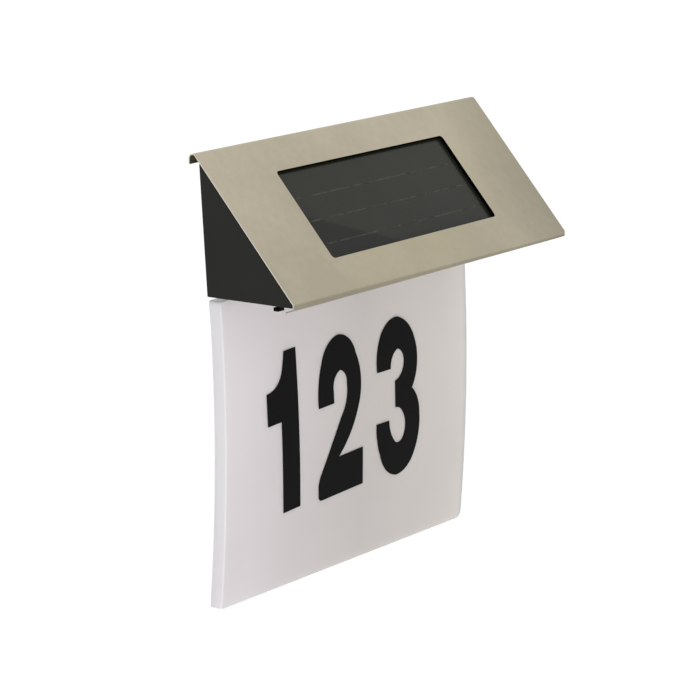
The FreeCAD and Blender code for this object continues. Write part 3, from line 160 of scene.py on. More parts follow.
def softenedCopy(node, name, material, width=0.0, wanted=None):
    # a welded copy of a frame node, with the chosen edges rounded by a small bevel
    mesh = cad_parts[node].data.copy()
    shape = bmesh.new()
    shape.from_mesh(mesh)
    bmesh.ops.remove_doubles(shape, verts=shape.verts, dist=copied["weld"])
    bmesh.ops.dissolve_limit(
        shape, angle_limit=math.radians(copied["flatWithin"]), verts=shape.verts, edges=shape.edges,
        use_dissolve_boundaries=False,
    )
    if width:
        corner = math.radians(copied["cornerOver"])
        chosen = [
            edge for edge in shape.edges
            if len(edge.link_faces) == 2 and edge.calc_face_angle(0) > corner and wanted(edge)
        ]
        bmesh.ops.bevel(
            shape, geom=chosen, offset=width, offset_type="OFFSET", segments=2, profile=0.5,
            affect="EDGES", clamp_overlap=True,
        )
    shape.to_mesh(mesh)
    shape.free()
    obj = pieceFromMesh(name, mesh)
    dress(obj, material)
    evenShading(obj)
    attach(obj, carriedBy.get(node, "sign"))
    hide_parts(node)
    return obj


def newTree(name, inputs):
    # a geometry tree with named inputs: name -> (socket type, default)
    tree = bpy.data.node_groups.new(name, "GeometryNodeTree")
    tree.interface.new_socket(name="Geometry", in_out="OUTPUT", socket_type="NodeSocketGeometry")
    tree.interface.new_socket(name="Geometry", in_out="INPUT", socket_type="NodeSocketGeometry")
    for key, (kind, value) in inputs.items():
        socket = tree.interface.new_socket(name=key, in_out="INPUT", socket_type=kind)
        if value is not None:
            socket.default_value = value
    return tree, addNode(tree, "NodeGroupInput").outputs, addNode(tree, "NodeGroupOutput").inputs


def endTree(tree, out, geometry, material):
    # real geometry with its material on it, because the export drops instances
    real = addNode(tree, "GeometryNodeRealizeInstances", links={"Geometry": geometry})
    final = addNode(
        tree, "GeometryNodeSetMaterial", links={"Geometry": real.outputs[0], "Material": material})
    tree.links.new(final.outputs[0], out[0])
    return tree


def grow(obj, tree, values):
    # runs a geometry tree on an object and keeps the plain mesh that comes out
    modifier = obj.modifiers.new("grow", "NODES")
    modifier.node_group = tree
    for socket in tree.interface.items_tree:
        if socket.item_type == "SOCKET" and socket.in_out == "INPUT" and socket.name in values:
            modifier[socket.identifier] = values[socket.name]
    return settle(obj)


def roundEdges(obj, width, segments=2, degrees=40):
    bevel = obj.modifiers.new("edges", "BEVEL")
    bevel.width = width
    bevel.segments = segments
    bevel.limit_method = "ANGLE"
    bevel.angle_limit = math.radians(degrees)
    settle(obj)


def pointsObject(name, points, edges=()):
    mesh = bpy.data.meshes.new(name)
    mesh.from_pydata([tuple(p) for p in points], list(edges), [])
    return pieceFromMesh(name, mesh)


# materials

def satinStainless():
    # 304 stainless sheet, cold rolled and pickled: warm grey satin with cloudy patches, a faint straw tint
    # here and there, painted light along the top, and painted shade at the lower right and round the front
    # bend
    made, tree, shader = newMaterial("satinStainless")
    place = addNode(tree, "ShaderNodeTexCoord").outputs["Object"]
    # clouds some 40 mm across, a mottle of 4 mm and straw patches of 90 mm
    clouds = addNode(
        tree, "ShaderNodeTexNoise", {"Scale": 24.0, "Detail": 3.0, "Roughness": 0.5}, {"Vector": place})
    fine = addNode(
        tree, "ShaderNodeTexNoise", {"Scale": 260.0, "Detail": 2.0, "Roughness": 0.5}, {"Vector": place})
    straw = addNode(tree, "ShaderNodeTexNoise", {"Scale": 11.0, "Detail": 1.0}, {"Vector": place})
    # rolling grain runs along the sheet: 0.3 mm wide and some 15 mm long
    stretched = addNode(tree, "ShaderNodeMapping", {"Scale": (60.0, 3200.0, 3200.0)}, {"Vector": place})
    grain = addNode(
        tree, "ShaderNodeTexNoise", {"Scale": 1.0, "Detail": 2.0}, {"Vector": stretched.outputs[0]})
    blend = addNode(
        tree, "ShaderNodeMix", {"data_type": "FLOAT", "Factor": 0.25},
        {"A": clouds.outputs["Fac"], "B": fine.outputs["Fac"]})
    ramp = addNode(tree, "ShaderNodeValToRGB", links={"Fac": blend.outputs[0]})
    setStops(ramp, (0.38, "#aca48f"), (0.64, "#b9b19d"))
    tint = addNode(
        tree, "ShaderNodeMapRange", {"From Min": 0.5, "From Max": 0.7, "To Max": 0.5},
        {"Value": straw.outputs["Fac"]})
    warm = addNode(
        tree, "ShaderNodeMix", {"data_type": "RGBA", 7: linear("#b3aa8c")},
        {0: tint.outputs["Result"], 6: ramp.outputs["Color"]})
    axes = addNode(tree, "ShaderNodeSeparateXYZ", links={"Vector": place})
    # painted light and shade: a little lighter along the top, a little darker towards the lower right, darker
    # round the front bend, where the sheet turns down away from the light
    right = addNode(
        tree, "ShaderNodeMapRange", {"From Min": 60 * mm, "From Max": 100 * mm}, {"Value": axes.outputs["X"]})
    loss = addNode(tree, "ShaderNodeMapRange", {
        "From Min": underside, "From Max": underside + 50 * mm, "To Min": 0.25, "To Max": 0.22},
        {"Value": axes.outputs["Z"]})
    dark = addNode(
        tree, "ShaderNodeMath", {"operation": "MULTIPLY"},
        {0: right.outputs["Result"], 1: loss.outputs["Result"]})
    rise = addNode(tree, "ShaderNodeMapRange", {
        "From Min": underside + 20 * mm, "From Max": underside + 55 * mm, "To Min": 0.98, "To Max": 1.07},
        {"Value": axes.outputs["Z"]})
    level = addNode(
        tree, "ShaderNodeMath", {"operation": "SUBTRACT"}, {0: rise.outputs["Result"], 1: dark.outputs[0]})
    # the painted shade round the bend narrows towards the right end
    lean = addNode(
        tree, "ShaderNodeMath", {"operation": "MULTIPLY_ADD", 1: 0.0065},
        {0: axes.outputs["X"], 2: axes.outputs["Z"]})
    low = addNode(tree, "ShaderNodeMapRange", {
        "From Min": underside + 1.2 * mm, "From Max": underside + 0.3 * mm, "To Min": 1.0, "To Max": 0.7},
        {"Value": lean.outputs[0]})
    both = addNode(
        tree, "ShaderNodeMath", {"operation": "MULTIPLY"}, {0: level.outputs[0], 1: low.outputs["Result"]})
    shade = addNode(
        tree, "ShaderNodeVectorMath", {"operation": "SCALE"}, {0: warm.outputs[2], "Scale": both.outputs[0]})
    rough = addNode(
        tree, "ShaderNodeMapRange", {"From Min": 0.3, "From Max": 0.7, "To Min": 0.36, "To Max": 0.44},
        {"Value": blend.outputs[0]})
    bump = addNode(
        tree, "ShaderNodeBump", {"Strength": 0.06, "Distance": 0.03 * mm}, {"Height": grain.outputs["Fac"]})
    setNode(tree, shader, {"Metallic": 1.0}, {
        "Base Color": shade.outputs[0], "Roughness": rough.outputs["Result"],
        "Normal": bump.outputs["Normal"]})
    return made


def mouldedPlastic(name, dark, light, roughness, specular, grit, depth):
    # injection moulded plastic. Its spark-eroded texture breaks up the shine, and grit is its pits' spacing
    made, tree, shader = newMaterial(name)
    place = addNode(tree, "ShaderNodeTexCoord").outputs["Object"]
    pits = addNode(
        tree, "ShaderNodeTexNoise", {"Scale": 1 / grit, "Detail": 2.0, "Roughness": 0.6}, {"Vector": place})
    broad = addNode(tree, "ShaderNodeTexNoise", {"Scale": 30.0, "Detail": 3.0}, {"Vector": place})
    ramp = addNode(tree, "ShaderNodeValToRGB", links={"Fac": broad.outputs["Fac"]})
    setStops(ramp, (0.3, dark), (0.7, light))
    rough = addNode(tree, "ShaderNodeMapRange", {
        "From Min": 0.3, "From Max": 0.7, "To Min": roughness - 0.05, "To Max": roughness + 0.05},
        {"Value": pits.outputs["Fac"]})
    bump = addNode(
        tree, "ShaderNodeBump", {"Strength": 0.35, "Distance": depth}, {"Height": pits.outputs["Fac"]})
    setNode(tree, shader, {"Specular IOR Level": specular}, {
        "Base Color": ramp.outputs["Color"], "Roughness": rough.outputs["Result"],
        "Normal": bump.outputs["Normal"]})
    return made


def opalAcrylic():
    # cast opal acrylic, a light guide: milky satin, with painted light on its left end face and towards its
    # top
    made, tree, shader = newMaterial("opalAcrylic")
    place = addNode(tree, "ShaderNodeTexCoord").outputs["Object"]
    axes = addNode(tree, "ShaderNodeSeparateXYZ", links={"Vector": place})
    low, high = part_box("light_panel")
    across = addNode(
        tree, "ShaderNodeMapRange", {"From Min": low[0], "From Max": high[0]}, {"Value": axes.outputs["X"]})
    ramp = addNode(tree, "ShaderNodeValToRGB", links={"Fac": across.outputs["Result"]})
    # painted light and shade from the left end face to the right one: brighter and cooler at the ends, a
    # little warm in the middle
    setStops(
        ramp, (0.0, "#f8f4f6"), (1.0, "#cdcfd0"), (0.003, "#e4dfe1"), (0.1, "#e1dcde"), (0.3, "#d8d3d3"),
        (0.55, "#d1ccc9"), (0.9, "#dad5d1"), (0.98, "#dfdad6"))
    # clouds in the milk, some 45 mm across
    milk = addNode(tree, "ShaderNodeTexNoise", {"Scale": 22.0, "Detail": 2.0}, {"Vector": place})
    cloud = addNode(
        tree, "ShaderNodeMapRange", {"From Min": 0.3, "From Max": 0.7, "To Min": 0.985, "To Max": 1.015},
        {"Value": milk.outputs["Fac"]})
    # painted light: brighter towards the top, where the hood shades the panel
    feed = addNode(tree, "ShaderNodeMapRange", {
        "From Min": -130 * mm, "From Max": -35 * mm, "To Min": 0.98, "To Max": 1.14},
        {"Value": axes.outputs["Z"]})
    level = addNode(
        tree, "ShaderNodeMath", {"operation": "MULTIPLY"},
        {0: cloud.outputs["Result"], 1: feed.outputs["Result"]})
    shade = addNode(
        tree, "ShaderNodeVectorMath", {"operation": "SCALE"},
        {0: ramp.outputs["Color"], "Scale": level.outputs[0]})
    haze = addNode(tree, "ShaderNodeTexNoise", {"Scale": 1400.0, "Detail": 2.0}, {"Vector": place})
    bump = addNode(
        tree, "ShaderNodeBump", {"Strength": 0.1, "Distance": 0.02 * mm}, {"Height": haze.outputs["Fac"]})
    setNode(tree, shader, {
        "Roughness": 0.38, "IOR": 1.49, "Specular IOR Level": 0.25, "Subsurface Weight": 0.7,
        "Subsurface Radius": (1.0, 1.0, 1.0), "Subsurface Scale": 6 * mm},
        {"Base Color": shade.outputs[0], "Normal": bump.outputs["Normal"]})
    return made


def cutVinyl():
    # self-adhesive cast vinyl: even black film with a low sheen and a faint orange peel
    made, tree, shader = newMaterial("cutVinyl")
    place = addNode(tree, "ShaderNodeTexCoord").outputs["Object"]
    peel = addNode(tree, "ShaderNodeTexNoise", {"Scale": 900.0, "Detail": 2.0}, {"Vector": place})
    ramp = addNode(tree, "ShaderNodeValToRGB", links={"Fac": peel.outputs["Fac"]})
    setStops(ramp, (0.0, "#0a0a0a"), (1.0, "#0f0f0f"))
    bump = addNode(
        tree, "ShaderNodeBump", {"Strength": 0.15, "Distance": 0.02 * mm}, {"Height": peel.outputs["Fac"]})
    setNode(
        tree, shader, {"Roughness": 0.5, "Specular IOR Level": 0.03},
        {"Base Color": ramp.outputs["Color"], "Normal": bump.outputs["Normal"]})
    return made


def amorphousSilicon():
    # amorphous silicon: near black, grey green and matt, with a faint cloudy film 15 to 20 mm across
    made, tree, shader = newMaterial("amorphousSilicon")
    place = addNode(tree, "ShaderNodeTexCoord").outputs["Object"]
    film = addNode(tree, "ShaderNodeTexNoise", {"Scale": 60.0, "Detail": 3.0}, {"Vector": place})
    ramp = addNode(tree, "ShaderNodeValToRGB", links={"Fac": film.outputs["Fac"]})
    setStops(ramp, (0.3, "#40413a"), (0.7, "#474840"))
    setNode(
        tree, shader, {"Roughness": 0.45, "Specular IOR Level": 0.05}, {"Base Color": ramp.outputs["Color"]})
    return made


def scribedConductor():
    # the line between two cells: a thin conductor that catches the light in short lengths of 3 to 10 mm
    made, tree, shader = newMaterial("scribedConductor")
    place = addNode(tree, "ShaderNodeTexCoord").outputs["Object"]
    pieces = addNode(tree, "ShaderNodeMapping", {"Scale": (160.0, 40.0, 40.0)}, {"Vector": place})
    gaps = addNode(tree, "ShaderNodeTexNoise", {"Scale": 1.0, "Detail": 1.0}, {"Vector": pieces.outputs[0]})
    ramp = addNode(tree, "ShaderNodeValToRGB", links={"Fac": gaps.outputs["Fac"]})
    setStops(ramp, (0.4, "#4b4c43"), (0.6, "#67685f"))
    setNode(
        tree, shader, {"Roughness": 0.6, "Specular IOR Level": 0.1}, {"Base Color": ramp.outputs["Color"]})
    return made


def pottingResin():
    # epoxy cast over the cells: it has their near black, grey green tone and adds a low gloss. Its lower left
    # corner carries a painted dark reflection, which makes that corner a shade darker
    made, tree, shader = newMaterial("pottingResin")
    place = addNode(tree, "ShaderNodeTexCoord").outputs["Object"]
    pull = addNode(tree, "ShaderNodeTexNoise", {"Scale": 45.0, "Detail": 2.0}, {"Vector": place})
    ramp = addNode(tree, "ShaderNodeValToRGB", links={"Fac": pull.outputs["Fac"]})
    setStops(ramp, (0.3, "#2e2f26"), (0.7, "#34352b"))
    axes = addNode(tree, "ShaderNodeSeparateXYZ", links={"Vector": place})
    # the painted dark reflection ends on a slanted line
    slant = addNode(
        tree, "ShaderNodeMath", {"operation": "MULTIPLY_ADD", 1: 0.316},
        {0: axes.outputs["X"], 2: axes.outputs["Z"]})
    level = addNode(tree, "ShaderNodeMapRange", {
        "From Min": underside + 8.5 * mm, "From Max": underside + 10.1 * mm, "To Min": 0.2, "To Max": 1.0},
        {"Value": slant.outputs[0]})
    shade = addNode(
        tree, "ShaderNodeVectorMath", {"operation": "SCALE"},
        {0: ramp.outputs["Color"], "Scale": level.outputs["Result"]})
    bump = addNode(
        tree, "ShaderNodeBump", {"Strength": 0.1, "Distance": 0.2 * mm}, {"Height": pull.outputs["Fac"]})
    setNode(
        tree, shader, {"Roughness": 0.25, "IOR": 1.5, "Specular IOR Level": 0.15},
        {"Base Color": shade.outputs[0], "Normal": bump.outputs["Normal"]})
    return made


def shearedStainless():
    # cut edge of the stainless sheet: bright and burnished, its colour also holding a painted highlight along
    # the edge, with fine lines across it from the punch
    made, tree, shader = newMaterial("shearedStainless")
    place = addNode(tree, "ShaderNodeTexCoord").outputs["Object"]
    lines = addNode(tree, "ShaderNodeTexNoise", {"Scale": 1800.0, "Detail": 2.0}, {"Vector": place})
    ramp = addNode(tree, "ShaderNodeValToRGB", links={"Fac": lines.outputs["Fac"]})
    setStops(ramp, (0.0, "#c6c0b3"), (1.0, "#dcd6cb"))
    axes = addNode(tree, "ShaderNodeSeparateXYZ", links={"Vector": place})
    # painted shade: darker low down, where the lip's cut edge lies in shadow under the front bend
    low = addNode(tree, "ShaderNodeMapRange", {
        "From Min": underside + 0.8 * mm, "From Max": underside - 0.9 * mm, "To Min": 1.0, "To Max": 0.5},
        {"Value": axes.outputs["Z"]})
    shade = addNode(
        tree, "ShaderNodeVectorMath", {"operation": "SCALE"},
        {0: ramp.outputs["Color"], "Scale": low.outputs["Result"]})
    bump = addNode(
        tree, "ShaderNodeBump", {"Strength": 0.2, "Distance": 0.02 * mm}, {"Height": lines.outputs["Fac"]})
    setNode(
        tree, shader, {"Metallic": 1.0, "Roughness": 0.3},
        {"Base Color": shade.outputs[0], "Normal": bump.outputs["Normal"]})
    return made


def platedMetal(name, dark, light, roughness):
    # plated or tinned metal: bright, with dull spots 0.6 mm across
    made, tree, shader = newMaterial(name)
    place = addNode(tree, "ShaderNodeTexCoord").outputs["Object"]
    spots = addNode(tree, "ShaderNodeTexNoise", {"Scale": 1 / (0.6 * mm), "Detail": 3.0}, {"Vector": place})
    ramp = addNode(tree, "ShaderNodeValToRGB", links={"Fac": spots.outputs["Fac"]})
    setStops(ramp, (0.35, dark), (0.65, light))
    rough = addNode(tree, "ShaderNodeMapRange", {
        "From Min": 0.3, "From Max": 0.7, "To Min": roughness - 0.06, "To Max": roughness + 0.08},
        {"Value": spots.outputs["Fac"]})
    setNode(
        tree, shader, {"Metallic": 1.0},
        {"Base Color": ramp.outputs["Color"], "Roughness": rough.outputs["Result"]})
    return made


def paintedOver(name, dark, light, roughness, specular=0.4, mottle=2 * mm):
    # lacquer, solder mask, sleeve or foam: one colour with a soft mottle of the given size
    made, tree, shader = newMaterial(name)
    place = addNode(tree, "ShaderNodeTexCoord").outputs["Object"]
    spots = addNode(tree, "ShaderNodeTexNoise", {"Scale": 1 / mottle, "Detail": 3.0}, {"Vector": place})
    ramp = addNode(tree, "ShaderNodeValToRGB", links={"Fac": spots.outputs["Fac"]})
    setStops(ramp, (0.3, dark), (0.7, light))
    bump = addNode(
        tree, "ShaderNodeBump", {"Strength": 0.2, "Distance": 0.03 * mm}, {"Height": spots.outputs["Fac"]})
    setNode(
        tree, shader, {"Roughness": roughness, "Specular IOR Level": specular},
        {"Base Color": ramp.outputs["Color"], "Normal": bump.outputs["Normal"]})
    return made


stainless = satinStainless()
# black ABS, moulded against a spark-eroded steel: 0.25 mm pits that scatter the shine
blackAbs = mouldedPlastic("blackAbsMoulded", "#222220", "#282825", 0.55, 0.16, 0.25 * mm, 0.02 * mm)
acetal = mouldedPlastic("blackAcetal", "#050505", "#090909", 0.5, 0.04, 0.3 * mm, 0.01 * mm)
opal = opalAcrylic()
vinyl = cutVinyl()
shearedEdge = shearedStainless()
silicon = amorphousSilicon()
conductor = scribedConductor()
resin = pottingResin()
tinnedCopper = platedMetal("tinnedCopper", "#3c3c39", "#4b4b47", 0.5)
zincPlate = platedMetal("zincPlatedSteel", "#9a9c9d", "#c2c4c4", 0.32)
nickelPlate = platedMetal("nickelPlatedSpringSteel", "#a8a49b", "#c9c5bc", 0.28)
aluminiumCan = platedMetal("sleevedAluminium", "#3a3d46", "#4a4d58", 0.4)
backSheet = paintedOver("darkBackSheet", "#2c2d28", "#34352f", 0.6, 0.1)
greenMask = paintedOver("greenSolderMask", "#17452b", "#1d5233", 0.35)
whiteMask = paintedOver("whiteSolderMask", "#dcdcd6", "#e8e8e3", 0.4)
phosphor = paintedOver("lampPhosphor", "#d8c878", "#e4d68a", 0.35)
chipEpoxy = paintedOver("chipEpoxy", "#17171a", "#1e1e21", 0.5, 0.3, 0.5 * mm)
ferrite = paintedOver("lacqueredFerrite", "#2c3a2f", "#354739", 0.3)
# black closed cell foam for the seals, also laid round the window as painted shade
foam = paintedOver("closedCellFoam", "#060606", "#0c0c0c", 0.95, 0.02, 0.8 * mm)
tapeAdhesive = paintedOver("acrylicTape", "#c9c5ba", "#d5d1c6", 0.7, 0.2)
cellSleeve = paintedOver("printedCellSleeve", "#1f6b3c", "#257a46", 0.3, 0.4, 6 * mm)
redPvc = paintedOver("redPvcInsulation", "#9c1f1c", "#b32622", 0.4, 0.4, 1 * mm)
blackPvc = paintedOver("blackPvcInsulation", "#151515", "#1c1c1c", 0.4, 0.3, 1 * mm)
print("materials made")


# steel hood: one folded sheet with a window

hood = {
    "width": 200 * mm, "depth": 49.6 * mm, "slope": 49.0, "gauge": 0.5 * mm, "topBend": 1.9 * mm,
    "facePoint": (-49.0604 * mm, 2.1433 * mm),  # y, and z above the underside, of a point on the outer face
    "upperBend": 0.8 * mm, "lowerBend": 0.7 * mm,
    "lip": 4.0 * mm, "lipAngle": 21.0, "lipDrop": 0.7 * mm, "hook": 2.3 * mm,
    "windowLength": 119.5 * mm, "windowLow": 13.85 * mm, "windowHeight": 42 * mm, "windowCorner": 1.7 * mm,
    "bendSteps": 10, "edge": 0.1 * mm,
    "punch": 6 * mm, "weld": 0.001 * mm,  # thickness of the plate that cuts the window, merging distance
}
# how a face of the window's cut edge is told: its area, its place round the window and in the sheet, its lean
windowWall = {
    "area": 120 * mm * mm, "margin": 2 * mm, "reach": 75 * mm, "depth": 1 * mm, "lean": 0.3, "upright": 0.1,
}


def onSlope(u, v, w):
    # u along the sign, v up the slope from the front bend, w out of it
    slope = math.radians(hood["slope"])
    y, z = hood["facePoint"]
    across = y + v * math.cos(slope) - w * math.sin(slope)
    up = underside + z + v * math.sin(slope) + w * math.cos(slope)
    return Vector((u, across, up))


def hoodPoints():
    # corners of the sheet's outer face before bending, from the lip to the hook at the back, and their radii
    slope, lip = math.radians(hood["slope"]), math.radians(hood["lipAngle"])
    faceY, faceZ = hood["facePoint"][0], underside + hood["facePoint"][1]
    frontY = -hood["depth"]
    low = (0, frontY, underside - hood["lipDrop"])
    lipEnd = (0, frontY + hood["lip"] * math.cos(lip), low[2] - hood["lip"] * math.sin(lip))
    high = (0, frontY, faceZ + (frontY - faceY) * math.tan(slope))
    top = (0, 0, faceZ - faceY * math.tan(slope))
    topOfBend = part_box("hood_cover")[1][2]
    hookEnd = (0, 0, topOfBend - hood["topBend"] - hood["hook"])
    radii = [0.0, hood["lowerBend"], hood["upperBend"], hood["topBend"], 0.0]
    return [lipEnd, low, high, top, hookEnd], radii


def foldedSheetTree():
    # fillets the outline, draws it out to the sheet's width and gauge, and cuts the window through the slope
    tree, given, out = newTree("foldedSheet", {
        "Width": ("NodeSocketFloat", 0.2), "Gauge": ("NodeSocketFloat", 0.0005),
        "Bend steps": ("NodeSocketInt", 10),
        "Window length": ("NodeSocketFloat", 0.12), "Window height": ("NodeSocketFloat", 0.04),
        "Window corner": ("NodeSocketFloat", 0.001), "Window middle": ("NodeSocketVector", (0, 0, 0)),
        "Slope": ("NodeSocketFloat", 0.8), "Material": ("NodeSocketMaterial", None),
    })
    outline = addNode(tree, "GeometryNodeMeshToCurve", links={"Mesh": given["Geometry"]})
    radius = addNode(tree, "GeometryNodeInputNamedAttribute", {"data_type": "FLOAT", "Name": "bendRadius"})
    bent = addNode(tree, "GeometryNodeFilletCurve", {"mode": "POLY"}, {
        "Curve": outline.outputs["Curve"], "Count": given["Bend steps"],
        "Radius": radius.outputs["Attribute"]})
    half = addNode(tree, "ShaderNodeMath", {"operation": "MULTIPLY", 1: 0.5}, {0: given["Width"]})
    less = addNode(tree, "ShaderNodeMath", {"operation": "MULTIPLY", 1: -0.5}, {0: given["Width"]})
    start = addNode(tree, "ShaderNodeCombineXYZ", links={"X": less.outputs[0]})
    end = addNode(tree, "ShaderNodeCombineXYZ", links={"X": half.outputs[0]})
    across = addNode(
        tree, "GeometryNodeCurvePrimitiveLine", links={"Start": start.outputs[0], "End": end.outputs[0]})
    skin = addNode(tree, "GeometryNodeCurveToMesh", links={
        "Curve": bent.outputs["Curve"], "Profile Curve": across.outputs["Curve"]})
    thick = addNode(tree, "GeometryNodeExtrudeMesh", {"Individual": False}, {
        "Mesh": skin.outputs["Mesh"], "Offset Scale": given["Gauge"]})
    back = addNode(tree, "GeometryNodeFlipFaces", links={"Mesh": skin.outputs["Mesh"]})
    both = addNode(
        tree, "GeometryNodeJoinGeometry", links={0: [thick.outputs["Mesh"], back.outputs["Mesh"]]})
    solid = addNode(
        tree, "GeometryNodeMergeByDistance", {"Distance": hood["weld"]}, {"Geometry": both.outputs[0]})
    frameCurve = addNode(tree, "GeometryNodeCurvePrimitiveQuadrilateral", links={
        "Width": given["Window length"], "Height": given["Window height"]})
    rounded = addNode(tree, "GeometryNodeFilletCurve", {"mode": "POLY", "Count": 8}, {
        "Curve": frameCurve.outputs["Curve"], "Radius": given["Window corner"]})
    plate = addNode(tree, "GeometryNodeFillCurve", {"mode": "NGONS"}, {"Curve": rounded.outputs["Curve"]})
    raised = addNode(tree, "GeometryNodeExtrudeMesh", {"Individual": False, "Offset Scale": hood["punch"]}, {
        "Mesh": plate.outputs["Mesh"]})
    under = addNode(tree, "GeometryNodeFlipFaces", links={"Mesh": plate.outputs["Mesh"]})
    pair = addNode(
        tree, "GeometryNodeJoinGeometry", links={0: [raised.outputs["Mesh"], under.outputs["Mesh"]]})
    punch = addNode(
        tree, "GeometryNodeMergeByDistance", {"Distance": hood["weld"]}, {"Geometry": pair.outputs[0]})
    centred = addNode(
        tree, "GeometryNodeTransform", {"Translation": (0, 0, -hood["punch"] / 2)},
        {"Geometry": punch.outputs[0]})
    turn = addNode(tree, "ShaderNodeCombineXYZ", links={"X": given["Slope"]})
    laid = addNode(tree, "GeometryNodeTransform", links={
        "Geometry": centred.outputs[0], "Translation": given["Window middle"], "Rotation": turn.outputs[0]})
    cutOut = addNode(tree, "GeometryNodeMeshBoolean", {"operation": "DIFFERENCE", "solver": "EXACT"}, {
        "Mesh 1": solid.outputs[0], "Mesh 2": laid.outputs[0]})
    return endTree(tree, out, cutOut.outputs["Mesh"], given["Material"])


def isWindowWall(polygon, middle, outward):
    # a narrow face that stands across the sheet, round the window
    away = polygon.center - middle
    if abs(polygon.normal.dot(outward)) > windowWall["lean"] or polygon.area > windowWall["area"]:
        return False
    return (
        abs(away.x) < hood["windowLength"] / 2 + windowWall["margin"]
        and away.length < windowWall["reach"] and abs(away.dot(outward)) < windowWall["depth"])


def makeHood():
    points, radii = hoodPoints()
    middleOfWindow = onSlope(0, hood["windowLow"] + hood["windowHeight"] / 2, 0)
    obj = pointsObject("hoodSheet", points, [(0, 1), (1, 2), (2, 3), (3, 4)])
    bend = obj.data.attributes.new("bendRadius", "FLOAT", "POINT")
    for index, radius in enumerate(radii):
        bend.data[index].value = radius
    grow(obj, foldedSheetTree(), {
        "Width": hood["width"], "Gauge": hood["gauge"], "Bend steps": hood["bendSteps"],
        "Window length": hood["windowLength"], "Window height": hood["windowHeight"],
        "Window corner": hood["windowCorner"], "Window middle": middleOfWindow,
        "Slope": math.radians(hood["slope"]), "Material": stainless,
    })
    roundEdges(obj, hood["edge"], degrees=50)
    dress(obj, stainless)
    obj.data.materials.append(shearedEdge)
    obj.data.materials.append(foam)
    slope = math.radians(hood["slope"])
    outward = Vector((0, -math.sin(slope), math.cos(slope)))
    for polygon in obj.data.polygons:
        inWindow = isWindowWall(polygon, middleOfWindow, outward)
        # painted shade: the cut edge round the window, between its two bevels, takes the black foam material
        # for its deep shade
        if inWindow and abs(polygon.normal.dot(outward)) < windowWall["upright"]:
            polygon.material_index = 2  # the seal's foam laps over the cut edge, between its two bevels
        elif inWindow or abs(polygon.normal.x) > 0.7:
            polygon.material_index = 1
    evenShading(obj, 50)
    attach(obj, "sign")
    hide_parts("hood_cover")


makeHood()
print("hood made")


# black mouldings: welded copies whose outer edges get the moulding's small radius

moulding = {
    "edge": 0.25 * mm, "doorEdge": 0.2 * mm, "shortest": 4 * mm, "reach": 0.02 * mm,
    "paintedShadeMargin": 1.5 * mm, "paintedShadeLow": -3.4 * mm, "paintedShadeHigh": -0.6 * mm,
}


def outerEdgeOf(node):
    # edges that lie in an outside face of the node's box, apart from short ones
    low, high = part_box(node)

    def wanted(edge):
        if edge.calc_length() <= moulding["shortest"]:
            return False
        for axis in range(3):
            for limit in (low[axis], high[axis]):
                if all(abs(vertex.co[axis] - limit) < moulding["reach"] for vertex in edge.verts):
                    return True
        return False

    return wanted


def sealRim(obj):
    # painted shade: the housing's rim inside the window takes the black foam material, where it lies in deep
    # shade
    obj.data.materials.append(foam)
    slope = math.radians(hood["slope"])
    corner = onSlope(0, hood["windowLow"], 0)
    upSlope = Vector((0, math.cos(slope), math.sin(slope)))
    outward = Vector((0, -math.sin(slope), math.cos(slope)))
    margin = moulding["paintedShadeMargin"]
    for polygon in obj.data.polygons:
        place = polygon.center - corner
        along = abs(place.x) < hood["windowLength"] / 2 + margin
        up = -margin < place.dot(upSlope) < hood["windowHeight"] + margin
        if along and up and moulding["paintedShadeLow"] < place.dot(outward) < moulding["paintedShadeHigh"]:
            polygon.material_index = 1


housingShell = softenedCopy(
    "housing", "housingShell", blackAbs, moulding["edge"], outerEdgeOf("housing"))
sealRim(housingShell)
softenedCopy("back_cover", "backShell", blackAbs, moulding["edge"], outerEdgeOf("back_cover"))
softenedCopy(
    "battery_door", "doorPlate", blackAbs, moulding["doorEdge"], outerEdgeOf("battery_door"))
print("mouldings made")


# number panel and its digits

panel = {
    "corner": 3.5 * mm, "nearCorner": 1.0 * mm, "shoulderCorner": 1.3 * mm,
    "tongue": 74 * mm, "tongueSide": 0.6 * mm,  # half the tongue's width, how far its side may lean inwards
    "shoulderDrop": 4.0 * mm, "squash": 0.75, "below": 0.3 * mm, "above": 0.5 * mm,
}


def tightenCorner(obj, sideX, sideZ, edgeZ, radius):
    # cuts a corner closer than the solid's. sideX and sideZ are -1 or 1 and say which corner it is
    reach, inset = panel["corner"], panel["corner"] - radius
    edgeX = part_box("light_panel")[0 if sideX < 0 else 1][0]
    middle = Vector((edgeX - sideX * reach, 0, edgeZ - sideZ * reach))
    for vertex in obj.data.vertices:
        away = Vector(((vertex.co.x - middle.x) * sideX, 0, (vertex.co.z - middle.z) * sideZ))
        if away.x > 1e-7 and away.z > 1e-7 and away.length > reach * 0.5:
            along = away.normalized()
            # distance to a square corner of half width reach whose own radius is the new one
            square = reach / max(along.x, along.z)
            hit = along * square
            if hit.x > inset and hit.z > inset:
                dot = (along.x + along.z) * inset
                square = dot + math.sqrt(max(dot * dot - 2 * inset * inset + radius ** 2, 0))
            moved = along * away.length * square / reach
            vertex.co.x, vertex.co.z = middle.x + sideX * moved.x, middle.z + sideZ * moved.z


def lowerShoulders(obj):
    # daylight shows between the housing and the panel's two shoulders
    lowest, highest = underside - panel["corner"] - panel["below"], underside + panel["above"]
    for vertex in obj.data.vertices:
        if abs(vertex.co.x) > panel["tongue"] - panel["tongueSide"] and lowest < vertex.co.z < highest:
            vertex.co.z = underside - panel["shoulderDrop"] + (vertex.co.z - underside) * panel["squash"]


